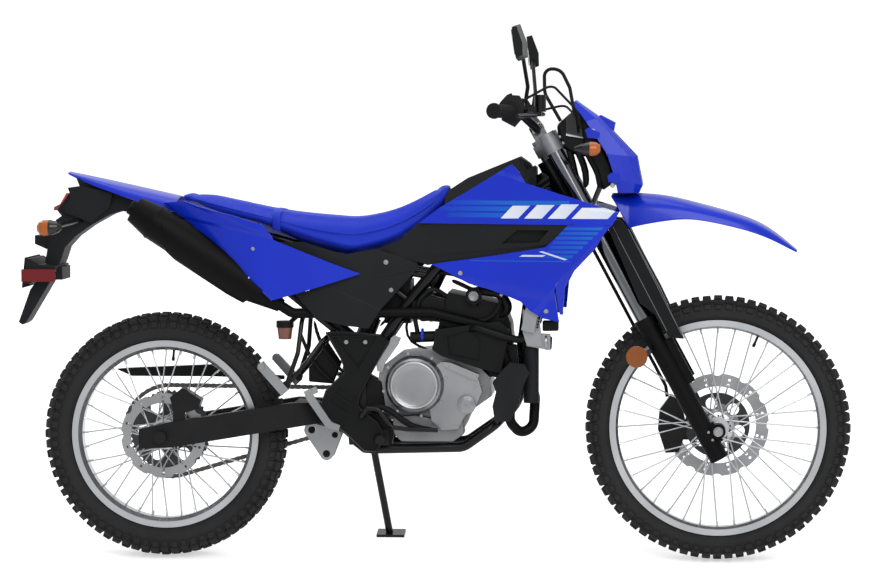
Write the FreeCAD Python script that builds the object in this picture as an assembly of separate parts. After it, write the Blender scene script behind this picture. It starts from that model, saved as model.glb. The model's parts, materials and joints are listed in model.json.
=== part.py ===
import FreeCAD, Part
import math
import os
from FreeCAD import Vector

# Dual sport motorcycle. Millimetres; built upright with X forward from the rear axle,
# Y to the rider's left and Z up from the ground, then leaned onto its side stand.

LEAN = 9.0
WHEELBASE = 1430.0
FRONT_R = 341.0
REAR_R = 317.0
CASTER = 28.3
AXLE_LEAD = 31.0
STEM_BACK = 31.0
FORK_HALF = 98.0
TUBE_R = 20.5
SLIDER_R = 24.5
SLIDER_TOP = 342.0
CLAMP_LOW = (628.0, 662.0)
CLAMP_TOP = (826.0, 858.0)
STEM_R = 13.0
HEAD_R = 27.0
FIT = 0.08
AXLE_R = 8.5
LUGS = 31
SPOKES = 36
SPOKE_R = 1.9
FRONT_RIM = (FRONT_R - 63.0, FRONT_R - 79.0, FRONT_R - 85.0, 26.0)
REAR_RIM = (REAR_R - 73.0, REAR_R - 89.0, REAR_R - 98.0, 32.0)
FRONT_DISC_R = 133.5
REAR_DISC_R = 110.0
SPROCKET_R = 107.0
CHAIN_R = 120.0
CHAIN_Y = 64.0
PIVOT = (485.0, 378.0)
DRIVE = (560.0, 396.0)
DRIVE_R = 36.0
PANEL = 4.0
BAR_R = 11.1
GRIP_R = 17.0
FRAME_R = 15.0
LUG_H = 10.5
LUG_LENGTH = 22.0
PEG_R = 11.0
PLATE_BOLTS = 177.8
PLATE_HOLE = 3.5
STAND_PIVOT = (520.0, 108.0, 300.0)
STAND_DOWN = (40.0, 87.0, -270.0)
STAND_UP = (-280.0, 20.0, -20.0)
STAND_PIN = 5.9

# The steered parts are drawn about a front axle at this point and then moved to the real one.
DRAWN_AXLE = (1430.0, 341.0)

SIN = math.sin(math.radians(CASTER))
COS = math.cos(math.radians(CASTER))
LEG_X = DRAWN_AXLE[0] - AXLE_LEAD * COS
LEG_Z = DRAWN_AXLE[1] - AXLE_LEAD * SIN
STEER = Vector(WHEELBASE - DRAWN_AXLE[0], 0, FRONT_R - DRAWN_AXLE[1])
STAND_AXIS = Vector(*STAND_DOWN).cross(Vector(*STAND_UP))
STAND_AXIS.normalize()


def fork(up, ahead, y):
    """Point on the fork: distance up the leg from the axle, distance ahead of the leg."""
    return Vector(LEG_X - SIN * up + COS * ahead, y, LEG_Z + COS * up + SIN * ahead)


def head(up, y=0.0):
    """Point on the steering axis at a distance up the fork."""
    return fork(up, -STEM_BACK, y) + STEER


def solid(shape):
    """The shape as a solid with outward faces."""
    if shape.ShapeType != "Solid" and len(shape.Solids) == 1:
        shape = shape.Solids[0]
    if shape.Volume < 0:
        shape.reverse()
    return shape


def loop(points):
    """Closed polygon through the points."""
    corners = [Vector(*p) for p in points]
    return Part.makePolygon(corners + [corners[0]])


def side(points, y0, y1):
    """Prism with an X-Z outline between two crosswise planes."""
    face = Part.Face(loop([(x, y0, z) for x, z in points]))
    return face.extrude(Vector(0, y1 - y0, 0))


def plan(points, z0, z1):
    """Prism with an X-Y outline between two heights."""
    face = Part.Face(loop([(x, y, z0) for x, y in points]))
    return face.extrude(Vector(0, 0, z1 - z0))


def box(x0, x1, y0, y1, z0, z1):
    """Plain block."""
    return Part.makeBox(x1 - x0, y1 - y0, z1 - z0, Vector(x0, y0, z0))


def rod(a, b, r, r2=None):
    """Round bar or cone between two points."""
    a = Vector(*a)
    b = Vector(*b)
    if r2 is None or r2 == r:
        return Part.makeCylinder(r, (b - a).Length, a, b - a)
    return Part.makeCone(r, r2, (b - a).Length, a, b - a)


def route(points, bend):
    """Straight runs joined by tangent arcs."""
    pts = [Vector(*p) for p in points]
    edges = []
    start = pts[0]
    for i in range(1, len(pts) - 1):
        back = pts[i - 1] - pts[i]
        on = pts[i + 1] - pts[i]
        limit = 0.46 * min(back.Length, on.Length)
        back.normalize()
        on.normalize()
        half = back.getAngle(on) / 2
        cut = min(bend / math.tan(half), limit)
        radius = cut * math.tan(half)
        middle = back + on
        middle.normalize()
        p1 = pts[i] + back * cut
        p2 = pts[i] + on * cut
        top = pts[i] + middle * (radius / math.sin(half) - radius)
        edges.append(Part.makeLine(start, p1))
        edges.append(Part.Arc(p1, top, p2).toShape())
        start = p2
    edges.append(Part.makeLine(start, pts[-1]))
    return Part.Wire(edges)


def tube(points, r, bend=45.0):
    """Round bar bent along a path."""
    wire = route(points, bend)
    first = wire.Edges[0]
    direction = first.tangentAt(first.FirstParameter)
    circle = Part.makeCircle(r, first.valueAt(first.FirstParameter), direction)
    return solid(wire.makePipeShell([Part.Wire(circle)], True, False))


def turned(points, x, z):
    """Solid turned about a crosswise axis at x, z; points are (y, radius)."""
    face = Part.Face(loop([(x, y, z + r) for y, r in points]))
    return solid(face.revolve(Vector(x, 0, z), Vector(0, 1, 0), 360))


def spun(points, a, b):
    """Solid turned about the line from a towards b; points are (distance along, radius)."""
    a = Vector(*a)
    axis = Vector(*b) - a
    axis.normalize()
    out = axis.cross(Vector(0, 1, 0))
    if out.Length < 0.1:
        out = axis.cross(Vector(0, 0, 1))
    out.normalize()
    corners = [a + axis * t + out * r for t, r in points]
    face = Part.Face(Part.makePolygon(corners + [corners[0]]))
    return solid(face.revolve(a, axis, 360))


def disc(x, z, r, y0, y1):
    """Round plate about a crosswise axis."""
    return rod((x, y0, z), (x, y1, z), r)


def stack(sections):
    """Ruled solid through closed sections with equal numbers of points."""
    return solid(Part.makeLoft([loop(s) for s in sections], True, True))


def band(points, wall, z0, z1):
    """Upright wall of even thickness along a plan line."""
    left = []
    right = []
    for i, p in enumerate(points):
        a = points[max(i - 1, 0)]
        b = points[min(i + 1, len(points) - 1)]
        length = math.hypot(b[0] - a[0], b[1] - a[1])
        nx = -(b[1] - a[1]) / length * wall / 2
        ny = (b[0] - a[0]) / length * wall / 2
        left.append((p[0] + nx, p[1] + ny))
        right.append((p[0] - nx, p[1] - ny))
    return plan(left + right[::-1], z0, z1)


def mirrored(shape):
    """The same shape on the other side of the machine."""
    return shape.mirror(Vector(0, 0, 0), Vector(0, 1, 0))


def pair(shape):
    """The shape and its mirror image as two solids."""
    return [shape, mirrored(shape)]


def fuse(shapes):
    """One solid from overlapping solids."""
    first = shapes[0]
    if len(shapes) == 1:
        return first
    return first.fuse(shapes[1:]).removeSplitter()


def cut(shape, tools):
    """The shape without the tools."""
    return shape.cut(tools)


def inset(points, wall):
    """The points of an open line moved inward by the wall, in reverse order."""
    out = []
    for i, p in enumerate(points):
        a = points[max(i - 1, 0)]
        b = points[min(i + 1, len(points) - 1)]
        length = math.hypot(b[0] - a[0], b[1] - a[1])
        out.append((p[0] - (b[1] - a[1]) / length * wall, p[1] + (b[0] - a[0]) / length * wall, p[2]))
    return out[::-1]


def fork_block(u0, u1, a0, a1, y0, y1):
    """Block square to the fork."""
    low = [fork(u0, a0, y0), fork(u0, a1, y0), fork(u1, a1, y0), fork(u1, a0, y0)]
    face = Part.Face(Part.makePolygon(low + [low[0]]))
    return face.extrude(Vector(0, y1 - y0, 0))


def fork_plate(u0, u1, points):
    """Plate square to the fork with an outline of (ahead, y) points."""
    corners = [fork(u0, a, y) for a, y in points]
    face = Part.Face(Part.makePolygon(corners + [corners[0]]))
    return face.extrude(fork(u1, 0, 0) - fork(u0, 0, 0))


def fork_rod(u0, u1, ahead, y, r):
    """Round bar along the fork."""
    return rod(fork(u0, ahead, y), fork(u1, ahead, y), r)


def tyre_outline(radius, rim, half):
    """Outline of a tyre from bead to bead as (y, radius)."""
    outer, seat, _, rim_half = rim
    neck = rim_half - 5.5
    crown = radius - LUG_H
    wall = crown - outer
    right = [(neck, seat + 1.9), (neck, outer + 2.2), (half - 5.0, outer + 7.0),
             (half, outer + 0.45 * wall), (half - 4.5, crown - 0.2 * wall), (half * 0.47, crown)]
    return right + [(-y, r) for y, r in right[::-1]]


def tyre(radius, rim, half, x, z):
    """Tyre with a ring of centre lugs and a ring of shoulder lug pairs."""
    profile = tyre_outline(radius, rim, half)
    crown = radius - LUG_H
    wall = crown - rim[0]
    step = 360.0 / LUGS

    def at(angle, y, r):
        a = math.radians(angle)
        return Vector(r * math.sin(a), y, -r * math.cos(a))

    def lug(angle, length, section):
        spread = math.degrees(length / 2 / radius)
        return stack([[tuple(at(a, y, r)) for y, r in section]
                      for a in (angle - spread, angle + spread)])

    centre = [(-0.36 * half, crown - 4.5), (0.36 * half, crown - 4.5), (0.34 * half, radius),
              (-0.34 * half, radius)]
    edge = [(0.5 * half, crown - 7.0), (half - 5.0, crown - 0.28 * wall),
            (half + 1.5, radius - 0.24 * wall), (0.57 * half, radius - 2.2)]
    rings = [[at(a, y, r) for y, r in profile] for a in (-step / 2, step / 2)]
    faces = [Part.Face(Part.makePolygon(ring + [ring[0]])) for ring in rings]
    for i in range(len(profile)):
        j = (i + 1) % len(profile)
        quad = [rings[0][i], rings[0][j], rings[1][j], rings[1][i], rings[0][i]]
        faces.append(Part.Face(Part.makePolygon(quad)))
    piece = solid(Part.makeSolid(Part.makeShell(faces))).fuse([
        lug(-step / 4, LUG_LENGTH, centre), lug(step / 4, LUG_LENGTH, edge),
        lug(step / 4, LUG_LENGTH, [(-y, r) for y, r in edge])]).removeSplitter()
    ends = []
    for angle in (-step / 2, step / 2):
        a = math.radians(angle)
        ends.append(Vector(math.cos(a), 0, math.sin(a)))
    skin = []
    for face in piece.Faces:
        if not any(max(abs(v.Point.dot(n)) for v in face.Vertexes) < 1e-6 for n in ends):
            skin.append(face)
    faces = []
    for k in range(LUGS):
        for face in skin:
            copy = face.copy()
            copy.rotate(Vector(0, 0, 0), Vector(0, 1, 0), -step * k)
            faces.append(copy)
    shell = Part.makeShell(faces)
    shell.sewShape()
    whole = solid(Part.makeSolid(shell))
    whole.translate(Vector(x, 0, z))
    return whole


def spoked(rim, x, z, flange_r, flange_y, hub, bore):
    """Rim, crossed spokes and hub as one wheel."""
    outer, seat, inner, half = rim
    lip = half - 5.0
    shapes = [turned([(-half, outer), (-lip, outer), (-lip, seat), (lip, seat), (lip, outer),
                      (half, outer), (half, seat), (half * 0.6, inner), (-half * 0.6, inner),
                      (-half, seat)], x, z)]
    shapes.append(turned(hub, x, z))
    for k in range(SPOKES):
        turn = 360.0 * k / SPOKES
        hand = 1 if k % 2 else -1
        lean = 1 if (k // 2) % 2 else -1
        y0 = hand * (flange_y + (1.5 if lean > 0 else -1.5))
        a0 = math.radians(turn - lean * 62)
        a1 = math.radians(turn)
        shapes.append(rod((x + flange_r * math.cos(a0), y0, z + flange_r * math.sin(a0)),
                          (x + (inner + 2) * math.cos(a1), hand * 6.0, z + (inner + 2) * math.sin(a1)),
                          SPOKE_R))
    return cut(fuse(shapes), [disc(x, z, bore, -200, 200)])


def brake_disc(x, z, r, inner, y0, y1, lobes):
    """Wavy disc with a ring of drain holes."""
    plate = disc(x, z, r, y0, y1)
    tools = [disc(x, z, inner, y0 - 1, y1 + 1)]
    for k in range(lobes):
        a = math.radians(360.0 * k / lobes)
        far = r + 9.0
        tools.append(disc(x + far * math.cos(a), z + far * math.sin(a), 15.0, y0 - 1, y1 + 1))
        b = math.radians(360.0 * (k + 0.5) / lobes)
        for share in (0.9, 0.8):
            tools.append(disc(x + r * share * math.cos(b), z + r * share * math.sin(b), 3.6,
                              y0 - 1, y1 + 1))
    return cut(plate, tools)


NODES = {}


def keep(name, *solids):
    """Remember the solids of one node."""
    NODES[name] = list(solids)


def keep_steered(name, *solids):
    """Remember the solids of one node that turns with the fork."""
    for s in solids:
        s.translate(STEER)
    keep(name, *solids)


def build_wheels():
    """Front and rear wheels with discs, and the rear sprocket."""
    keep("front_tyre", tyre(FRONT_R, FRONT_RIM, 37.5, WHEELBASE, FRONT_R))
    keep("front_wheel", spoked(FRONT_RIM, WHEELBASE, FRONT_R, 24.0, 30.0,
                               [(-69, 8), (-69, 14), (-34, 16), (-33, 29), (-27, 29), (-26, 19),
                                (26, 19), (27, 29), (33, 29), (34, 22), (58, 22), (60, 40),
                                (64, 40), (64, 18), (69, 18), (69, 8)], AXLE_R + FIT))
    front_disc = brake_disc(WHEELBASE, FRONT_R, FRONT_DISC_R, 100.0, 65.0, 69.0, 12)
    arms = []
    for k in range(6):
        a = math.radians(60 * k + 15)
        arms.append(rod((WHEELBASE + 76 * math.cos(a), 67, FRONT_R + 76 * math.sin(a)),
                        (WHEELBASE + 108 * math.cos(a), 67, FRONT_R + 108 * math.sin(a)), 1.9))
    carrier = disc(WHEELBASE, FRONT_R, 84.0, 64.0, 68.0)
    windows = []
    for k in range(6):
        a = math.radians(60 * k + 45)
        windows.append(disc(WHEELBASE + 58 * math.cos(a), FRONT_R + 58 * math.sin(a), 15.0, 60, 72))
    windows.append(disc(WHEELBASE, FRONT_R, 19.0, 60, 72))
    keep("front_disc", cut(fuse([front_disc, carrier] + arms), windows))
    keep("rear_tyre", tyre(REAR_R, REAR_RIM, 48.0, 0, REAR_R))
    keep("rear_wheel", spoked(REAR_RIM, 0, REAR_R, 34.0, 34.0,
                              [(-62, 9), (-62, 30), (-38, 30), (-37, 39), (-31, 39), (-30, 27),
                               (30, 27), (31, 39), (37, 39), (38, 44), (58, 44), (58, 20),
                               (70, 20), (70, 9)], 10.0 + FIT))
    rear_disc = brake_disc(0, REAR_R, REAR_DISC_R, 84.0, -66.0, -62.0, 10)
    spider = [disc(0, REAR_R, 34.0, -66.0, -62.0)]
    for k in range(5):
        a = math.radians(72 * k + 18)
        spider.append(rod((26 * math.cos(a), -64, REAR_R + 26 * math.sin(a)),
                          (92 * math.cos(a), -64, REAR_R + 92 * math.sin(a)), 1.9))
    keep("rear_disc", cut(fuse([rear_disc] + spider), [disc(0, REAR_R, 14.0, -70, -60)]))
    gear = disc(0, REAR_R, SPROCKET_R, CHAIN_Y - 3, CHAIN_Y + 3)
    teeth = []
    for k in range(45):
        a = math.radians(8 * k)
        far = SPROCKET_R + 1.0
        teeth.append(disc(far * math.cos(a), REAR_R + far * math.sin(a), 5.0,
                          CHAIN_Y - 4, CHAIN_Y + 4))
    for k in range(6):
        a = math.radians(60 * k)
        teeth.append(disc(70 * math.cos(a), REAR_R + 70 * math.sin(a), 17.0,
                          CHAIN_Y - 4, CHAIN_Y + 4))
    hub_plate = disc(0, REAR_R, 44.0, 58.0, CHAIN_Y)
    keep("sprocket", cut(fuse([gear, hub_plate]).cut(teeth), [disc(0, REAR_R, 20.5, 40, 70)]))


def build_fork():
    """Steered parts, square to the fork."""
    axle_x, axle_z = DRAWN_AXLE
    legs = [fork_rod(SLIDER_TOP, CLAMP_TOP[1] + 8, 0, s * FORK_HALF, TUBE_R) for s in (-1, 1)]
    sliders = []
    for s in (-1, 1):
        y = s * FORK_HALF
        sliders.append(fuse([
            fork_rod(-28, SLIDER_TOP, 0, y, SLIDER_R),
            fork_rod(SLIDER_TOP - 26, SLIDER_TOP, 0, y, SLIDER_R + 3),
            disc(axle_x, axle_z, 19.0, y - 22, y + 22),
            fork_block(-26, 26, 0, AXLE_LEAD, y - 17, y + 17),
            fork_block(142, 268, 18, 41, y - 13, y + 13)]))
    axle = disc(axle_x, axle_z, AXLE_R, -124, 124)
    clamps = []
    for low, high, front in ((CLAMP_LOW[0], CLAMP_LOW[1], 16), (CLAMP_TOP[0], CLAMP_TOP[1], 14)):
        back = -STEM_BACK - 17
        clamps.append(fork_plate(low, high, [
            (back, -18), (back, 18), (-14, FORK_HALF), (front, FORK_HALF), (2, 52), (2, -52),
            (front, -FORK_HALF), (-14, -FORK_HALF)]))
        for s in (-1, 1):
            clamps.append(fork_rod(low - 3, high + 3, 0, s * FORK_HALF, 26.0))
    clamps.append(fork_rod(CLAMP_LOW[0], CLAMP_TOP[1], -STEM_BACK, 0, STEM_R))
    clamps.append(fork_rod(CLAMP_TOP[1] - 2, CLAMP_TOP[1] + 12, -STEM_BACK, 0, 15))
    for s in (-1, 1):
        clamps.append(fork_rod(CLAMP_TOP[1] - 2, CLAMP_TOP[1] + 16, 0, s * FORK_HALF, 23))
        clamps.append(fork_block(CLAMP_TOP[1] - 4, 892, -32, 0, s * 50 - 14, s * 50 + 14))
    keep_steered("fork_clamps", cut(fuse(clamps), legs))
    keep_steered("fork_tubes", *legs)
    keep_steered("fork_sliders", fuse(sliders + [axle, disc(axle_x, axle_z, 13, -126, -119)]))
    outline = [(1146, 866), (1158, 880), (1182, 878), (1202, 852), (1284, 700), (1342, 578),
               (1306, 580), (1268, 640), (1230, 668)]
    guard = side(outline, -FORK_HALF - 32, -FORK_HALF + 30)
    guard = cut(guard, [fork_rod(150, 700, 0, -FORK_HALF, SLIDER_R + 3),
                        fork_block(150, 700, -90, 0, -FORK_HALF - SLIDER_R - 3,
                                   -FORK_HALF + SLIDER_R + 3),
                        fork_block(150, 700, -90, -12, -200, 0)])
    for k in range(3):
        rib = -FORK_HALF - 18 + 18 * k
        guard = cut(guard, [fork_block(240, 585, 34, 60, rib - 3, rib + 3)])
    keep_steered("fork_guards", *pair(guard))


def fender(stations, wall):
    """Arched shell; stations are (x, z, half width, drop)."""
    sections = []
    for x, z, half, drop in stations:
        outer = [(x, -half, z - drop), (x, -half * 0.86, z - drop * 0.35), (x, -half * 0.45, z - 3),
                 (x, 0, z), (x, half * 0.45, z - 3), (x, half * 0.86, z - drop * 0.35),
                 (x, half, z - drop)]
        k = 1 - wall / half
        inner = [(x, half * k, z - drop), (x, half * 0.86 * k, z - drop * 0.35 - wall),
                 (x, half * 0.45, z - 3 - wall), (x, 0, z - wall), (x, -half * 0.45, z - 3 - wall),
                 (x, -half * 0.86 * k, z - drop * 0.35 - wall), (x, -half * k, z - drop)]
        sections.append(outer + inner)
    return stack(sections)


def build_cowl():
    """Headlamp cowl and the lamp that fills its window."""
    front = [(1066, 1183), (1127, 1140), (1225, 1038), (1239, 965), (1229, 947)]
    rear = [(1058, 1176), (1092, 1128), (1146, 1046), (1166, 985), (1174, 947)]
    widths = [62, 92, 112, 112, 104]
    walls = []
    hulls = []
    for (fx, fz), (rx, rz), w in zip(front, rear, widths):
        rise = (fz - rz) / (fx - rx)
        outer = [(rx + k * (fx - rx), s * w, rz + k * (fz - rz)) for s, k in (
            (-1, 0), (-0.92, 0.7), (-0.72, 0.96), (0, 1), (0.72, 0.96), (0.92, 0.7), (1, 0))]
        walls.append(outer + [(px, py, rz + (px - rx) * rise) for px, py, _ in inset(outer, 4.0)])
        hulls.append([(px - 6 * (px - rx) / (fx - rx), py, pz) for px, py, pz in outer])
    visor = side([(1118, 1138), (1128, 1145), (1166, 1125), (1160, 1098), (1150, 1104)], -42, 42)
    high_tab = side([(1090, 1106), (1098, 1113), (1128, 1100), (1126, 1084), (1096, 1087)], -102, -90)
    low_tab = side([(1150, 974), (1147, 990), (1156, 998), (1178, 998), (1180, 972)], -113, -101)
    shell = fuse([stack(walls), visor] + pair(high_tab) + pair(low_tab))
    cone = rod((1130, 0, 1046), (1300, 0, 1006), 76)
    keep_steered("cowl", cut(shell, [cone]))
    lamp = spun([(0, 0), (0, 46), (52, 72), (150, 74), (150, 0)], (1128, 0, 1046), (1206, 0, 1028))
    bracket = box(1104, 1150, -40, 40, 1022, 1068)
    meter = side([(1040, 1092), (1040, 1138), (1066, 1160), (1100, 1112), (1124, 1090), (1118, 1062),
                  (1092, 1084)], -60, 60)
    stay = tube([tuple(fork(CLAMP_LOW[0] + 18, 4, -56)), (1127, -56, 962), (1125, -56, 1000),
                 (1104, -52, 1046)], 6.5, 40)
    cross = rod((1112, -56, 1040), (1112, 56, 1040), 8)
    keep_steered("headlight", fuse([lamp.common(stack(hulls)), bracket, meter, cross,
                                    box(1102, 1124, -40, 40, 1056, 1096)] + pair(stay)))


def build_bar():
    """Handlebar, grips, mirrors and the hoses and cables."""
    ends = [(874, -400, 1156), (928, -236, 1153), (969, -122, 1109), (965, -74, 1104)]
    bar = tube(ends + [(x, -y, z) for x, y, z in ends[::-1]], BAR_R, 60)
    axis = Vector(*ends[1]) - Vector(*ends[0])
    axis.normalize()
    start = Vector(*ends[0]) - axis * 6
    grip = fuse([rod(start, start + axis * 122, GRIP_R), rod(start, start + axis * 8, 20),
                 rod(start + axis * 115, start + axis * 124, 25)])
    bar = cut(bar, [grip, mirrored(grip)])
    pod = side([(881, 1175), (900, 1196), (930, 1194), (944, 1175), (938, 1137), (919, 1115),
                (887, 1132)], -284, -246)
    perch = rod(start + axis * 170, start + axis * 206, 18)
    lever = tube([tuple(start + axis * 188 + Vector(8, 0, -2)),
                  tuple(start + axis * 176 + Vector(48, 0, -8)),
                  tuple(start + axis * 16 + Vector(52, 0, -12))], 5.5, 18)
    cup = fuse([rod((980, -214, 1153), (980, -214, 1196), 15), box(930, 984, -226, -204, 1142, 1166)])
    switch = side([(885, 1168), (898, 1184), (930, 1182), (942, 1162), (934, 1132), (898, 1128)],
                  246, 280)
    cap = fork_block(892, 906, -32, 0, -64, -36)
    keep_steered("handlebar", fuse([bar, pod, perch, lever, cup, cap, switch, mirrored(perch),
                                    mirrored(lever), mirrored(cap)]))
    keep_steered("grips", *pair(grip))
    stem = tube([(941, -228, 1160), (950, -236, 1216), (942, -300, 1280), (938, -384, 1314)], 5, 14)
    glass = stack([[(932, -350, 1278), (921, -350, 1366), (936, -350, 1370), (954, -350, 1322),
                    (955, -350, 1288)],
                   [(930, -464, 1284), (920, -464, 1360), (932, -464, 1362), (946, -464, 1322),
                    (947, -464, 1292)]])
    mirror = fuse([stem, glass])
    other = mirrored(mirror)
    other.translate(Vector(0, 0, -14))
    keep_steered("mirrors", mirror, other)
    hose = tube([(1026, -46, 1129), (985, -46, 1200), (984, -50, 1262), (1026, -54, 1262),
                 (1050, -70, 1214), (1062, -84, 1150), (1080, -86, 1112)], 4.5, 40)
    lower = tube([tuple(fork(628, -20, 62)), tuple(fork(590, -38, 90)), tuple(fork(150, -40, 90)),
                  tuple(fork(124, -50, 86))], 4.5, 30)
    throttle = tube([(936, -258, 1180), (1010, -214, 1222), (1066, -120, 1160), (1072, -60, 1100)],
                    3.2, 40)
    clutch = tube([(950, 214, 1152), (1030, 180, 1170), (1072, 90, 1130), (1074, 50, 1092)], 3.2, 40)
    keep_steered("cables", hose, lower, throttle, clutch)


def build_front_body():
    """Fender, signals and caliper on the fork."""
    shell = fender([
        (1158, 945, 60, 10), (1201, 947, 66, 91), (1236, 945, 72, 80), (1286, 942, 75, 68),
        (1340, 931, 78, 50), (1393, 917, 78, 40), (1491, 891, 74, 36), (1560, 862, 62, 30),
        (1631, 801, 30, 8)], 3.5)
    keep_steered("front_fender", fuse([shell, fork_block(CLAMP_LOW[0] + 6, CLAMP_LOW[1] - 5, 0, 78,
                                                         -30, 30)]))
    signal = fuse([spun([(0, 0), (0, 5), (20, 14), (42, 18.5), (57, 16.5), (66, 9), (67, 0)],
                        (1064, -177, 1059), (1131, -177, 1060)),
                   rod((1104, -164, 1060), (1124, -80, 1066), 7)])
    reflector = fuse([disc(1223, 532, 14, -138, -130), rod((1223, -134, 532), (1258, -118, 546), 5)])
    keep_steered("front_signals", *(pair(signal) + pair(reflector)))
    outline = [(1280, 380), (1310, 420), (1336, 404), (1352, 330), (1330, 270), (1296, 268),
               (1276, 330)]
    axle_x, axle_z = DRAWN_AXLE
    caliper = side(outline, 54, 96).cut(disc(axle_x, axle_z, FRONT_DISC_R + 5, 60, 74))
    keep_steered("front_caliper", fuse([caliper, box(1330, 1396, 82, 96, 300, 345)]))


def build_frame():
    """Main frame and seat frame."""
    axis_low, axis_high = head(667), head(815)
    px = PIVOT[0]
    pz = PIVOT[1]
    shapes = [rod(axis_low, axis_high, HEAD_R),
              tube([tuple(head(775)), (880, 0, 900), (740, 0, 800), (690, 0, 700)], 22, 80),
              tube([tuple(head(728)), (958, 0, 748), (912, 0, 410), (880, 0, 372)], 19, 80)]
    for s in (-1, 1):
        y = s * 78
        w = s * 90
        shapes.append(tube([(820, 0, 856), (740, y, 790), (640, y, 668), (px + 8, w, pz + 70),
                            (px + 10, w, pz - 10), (500, w, 300)], FRAME_R, 60))
        shapes.append(tube([(894, 0, 386), (862, y, 352), (780, w, 294), (545, w, 288),
                            (506, w, 318)], 12.5, 45))
        shapes.append(tube([(690, y, 735), (500, y, 768), (300, y, 828), (20, y * 0.7, 886)], 11, 80))
        shapes.append(tube([(540, y, 520), (330, y * 1.1, 690), (170, y, 850)], 10, 80))
        shapes.append(side([(470, 340), (530, 340), (530, 450), (500, 470), (470, 430)],
                           w - 9, w + 9))
        shapes.append(tube([(556, y, 672), (600, y, 700), (640, y, 668)], 9, 20))
    shapes.append(rod((520, -90, 304), (520, 90, 304), 9))
    shapes.append(rod((556, -78, 672), (556, 78, 672), 12))
    shapes.append(rod((40, -56, 882), (40, 56, 882), 9))
    shapes.append(rod((480, -80, 772), (480, 80, 772), 9))
    shapes.append(side([(498, 284), (542, 284), (542, 326), (498, 326)], 80, 98))
    pivot = Vector(*STAND_PIVOT)
    shapes.append(rod(pivot - STAND_AXIS * 26, pivot - STAND_AXIS * 2, 15.5))
    stand_hole = rod(pivot - STAND_AXIS * 14, pivot + STAND_AXIS * 6, STAND_PIN + FIT)
    stem_hole = rod(head(600), head(900), STEM_R + FIT)
    keep("frame", cut(fuse(shapes), [stem_hole, stand_hole]))


def build_rear(low):
    """Swingarm, shock and side stand."""
    arms = []
    rear_axle = disc(0, REAR_R, 10.0, -122, 122)
    for s in (-1, 1):
        inner = s * 78
        outer = s * 106
        drop = REAR_R - 317
        tip = [(-58, inner, 286 + drop), (-58, inner, 336 + drop), (-58, outer, 336 + drop),
               (-58, outer, 286 + drop)]
        slot = [(30, inner, 290 + drop), (30, inner, 356 + drop), (30, outer, 356 + drop),
                (30, outer, 290 + drop)]
        mid = [(335, s * 76, 342), (335, s * 76, 406), (335, outer, 406), (335, outer, 342)]
        neck = [(450, s * 32, 358), (450, s * 32, 406), (450, s * 58, 406), (450, s * 58, 358)]
        nose = [(508, s * 32, 362), (508, s * 32, 396), (508, s * 58, 396), (508, s * 58, 362)]
        arms += [stack([tip, slot]), stack([slot, mid]), stack([mid, neck]), stack([neck, nose])]
    arms.append(stack([
        [(340, -88, 346), (340, -88, 404), (340, 88, 404), (340, 88, 346)],
        [(398, -60, 352), (398, -60, 402), (398, 60, 402), (398, 60, 352)]]))
    arms += [rear_axle, disc(0, REAR_R, 16.0, -126, -112), disc(*PIVOT, 11.0, -116, 116)]
    keep("swingarm", fuse(arms))
    keep("shock", fuse([rod((425, 0, 338), (538, 0, 622), 24), rod((538, 0, 622), (556, 0, 672), 11)]))
    pivot = Vector(*STAND_PIVOT)
    foot = Part.makeBox(74, 58, 7, Vector(532, 180, low))
    foot.rotate(Vector(0, 0, 0), Vector(1, 0, 0), LEAN)
    ankle = foot.BoundBox.Center
    knee = pivot + STAND_AXIS * 8
    keep("side_stand", fuse([
        rod(pivot - STAND_AXIS * 12, pivot + STAND_AXIS * 4, STAND_PIN),
        rod(pivot - STAND_AXIS * 1, pivot + STAND_AXIS * 17, 15.5),
        tube([tuple(knee), (530, 133, 262), (ankle.x - 4, ankle.y - 2, ankle.z + 2)], 9.5, 30),
        foot]))


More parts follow.
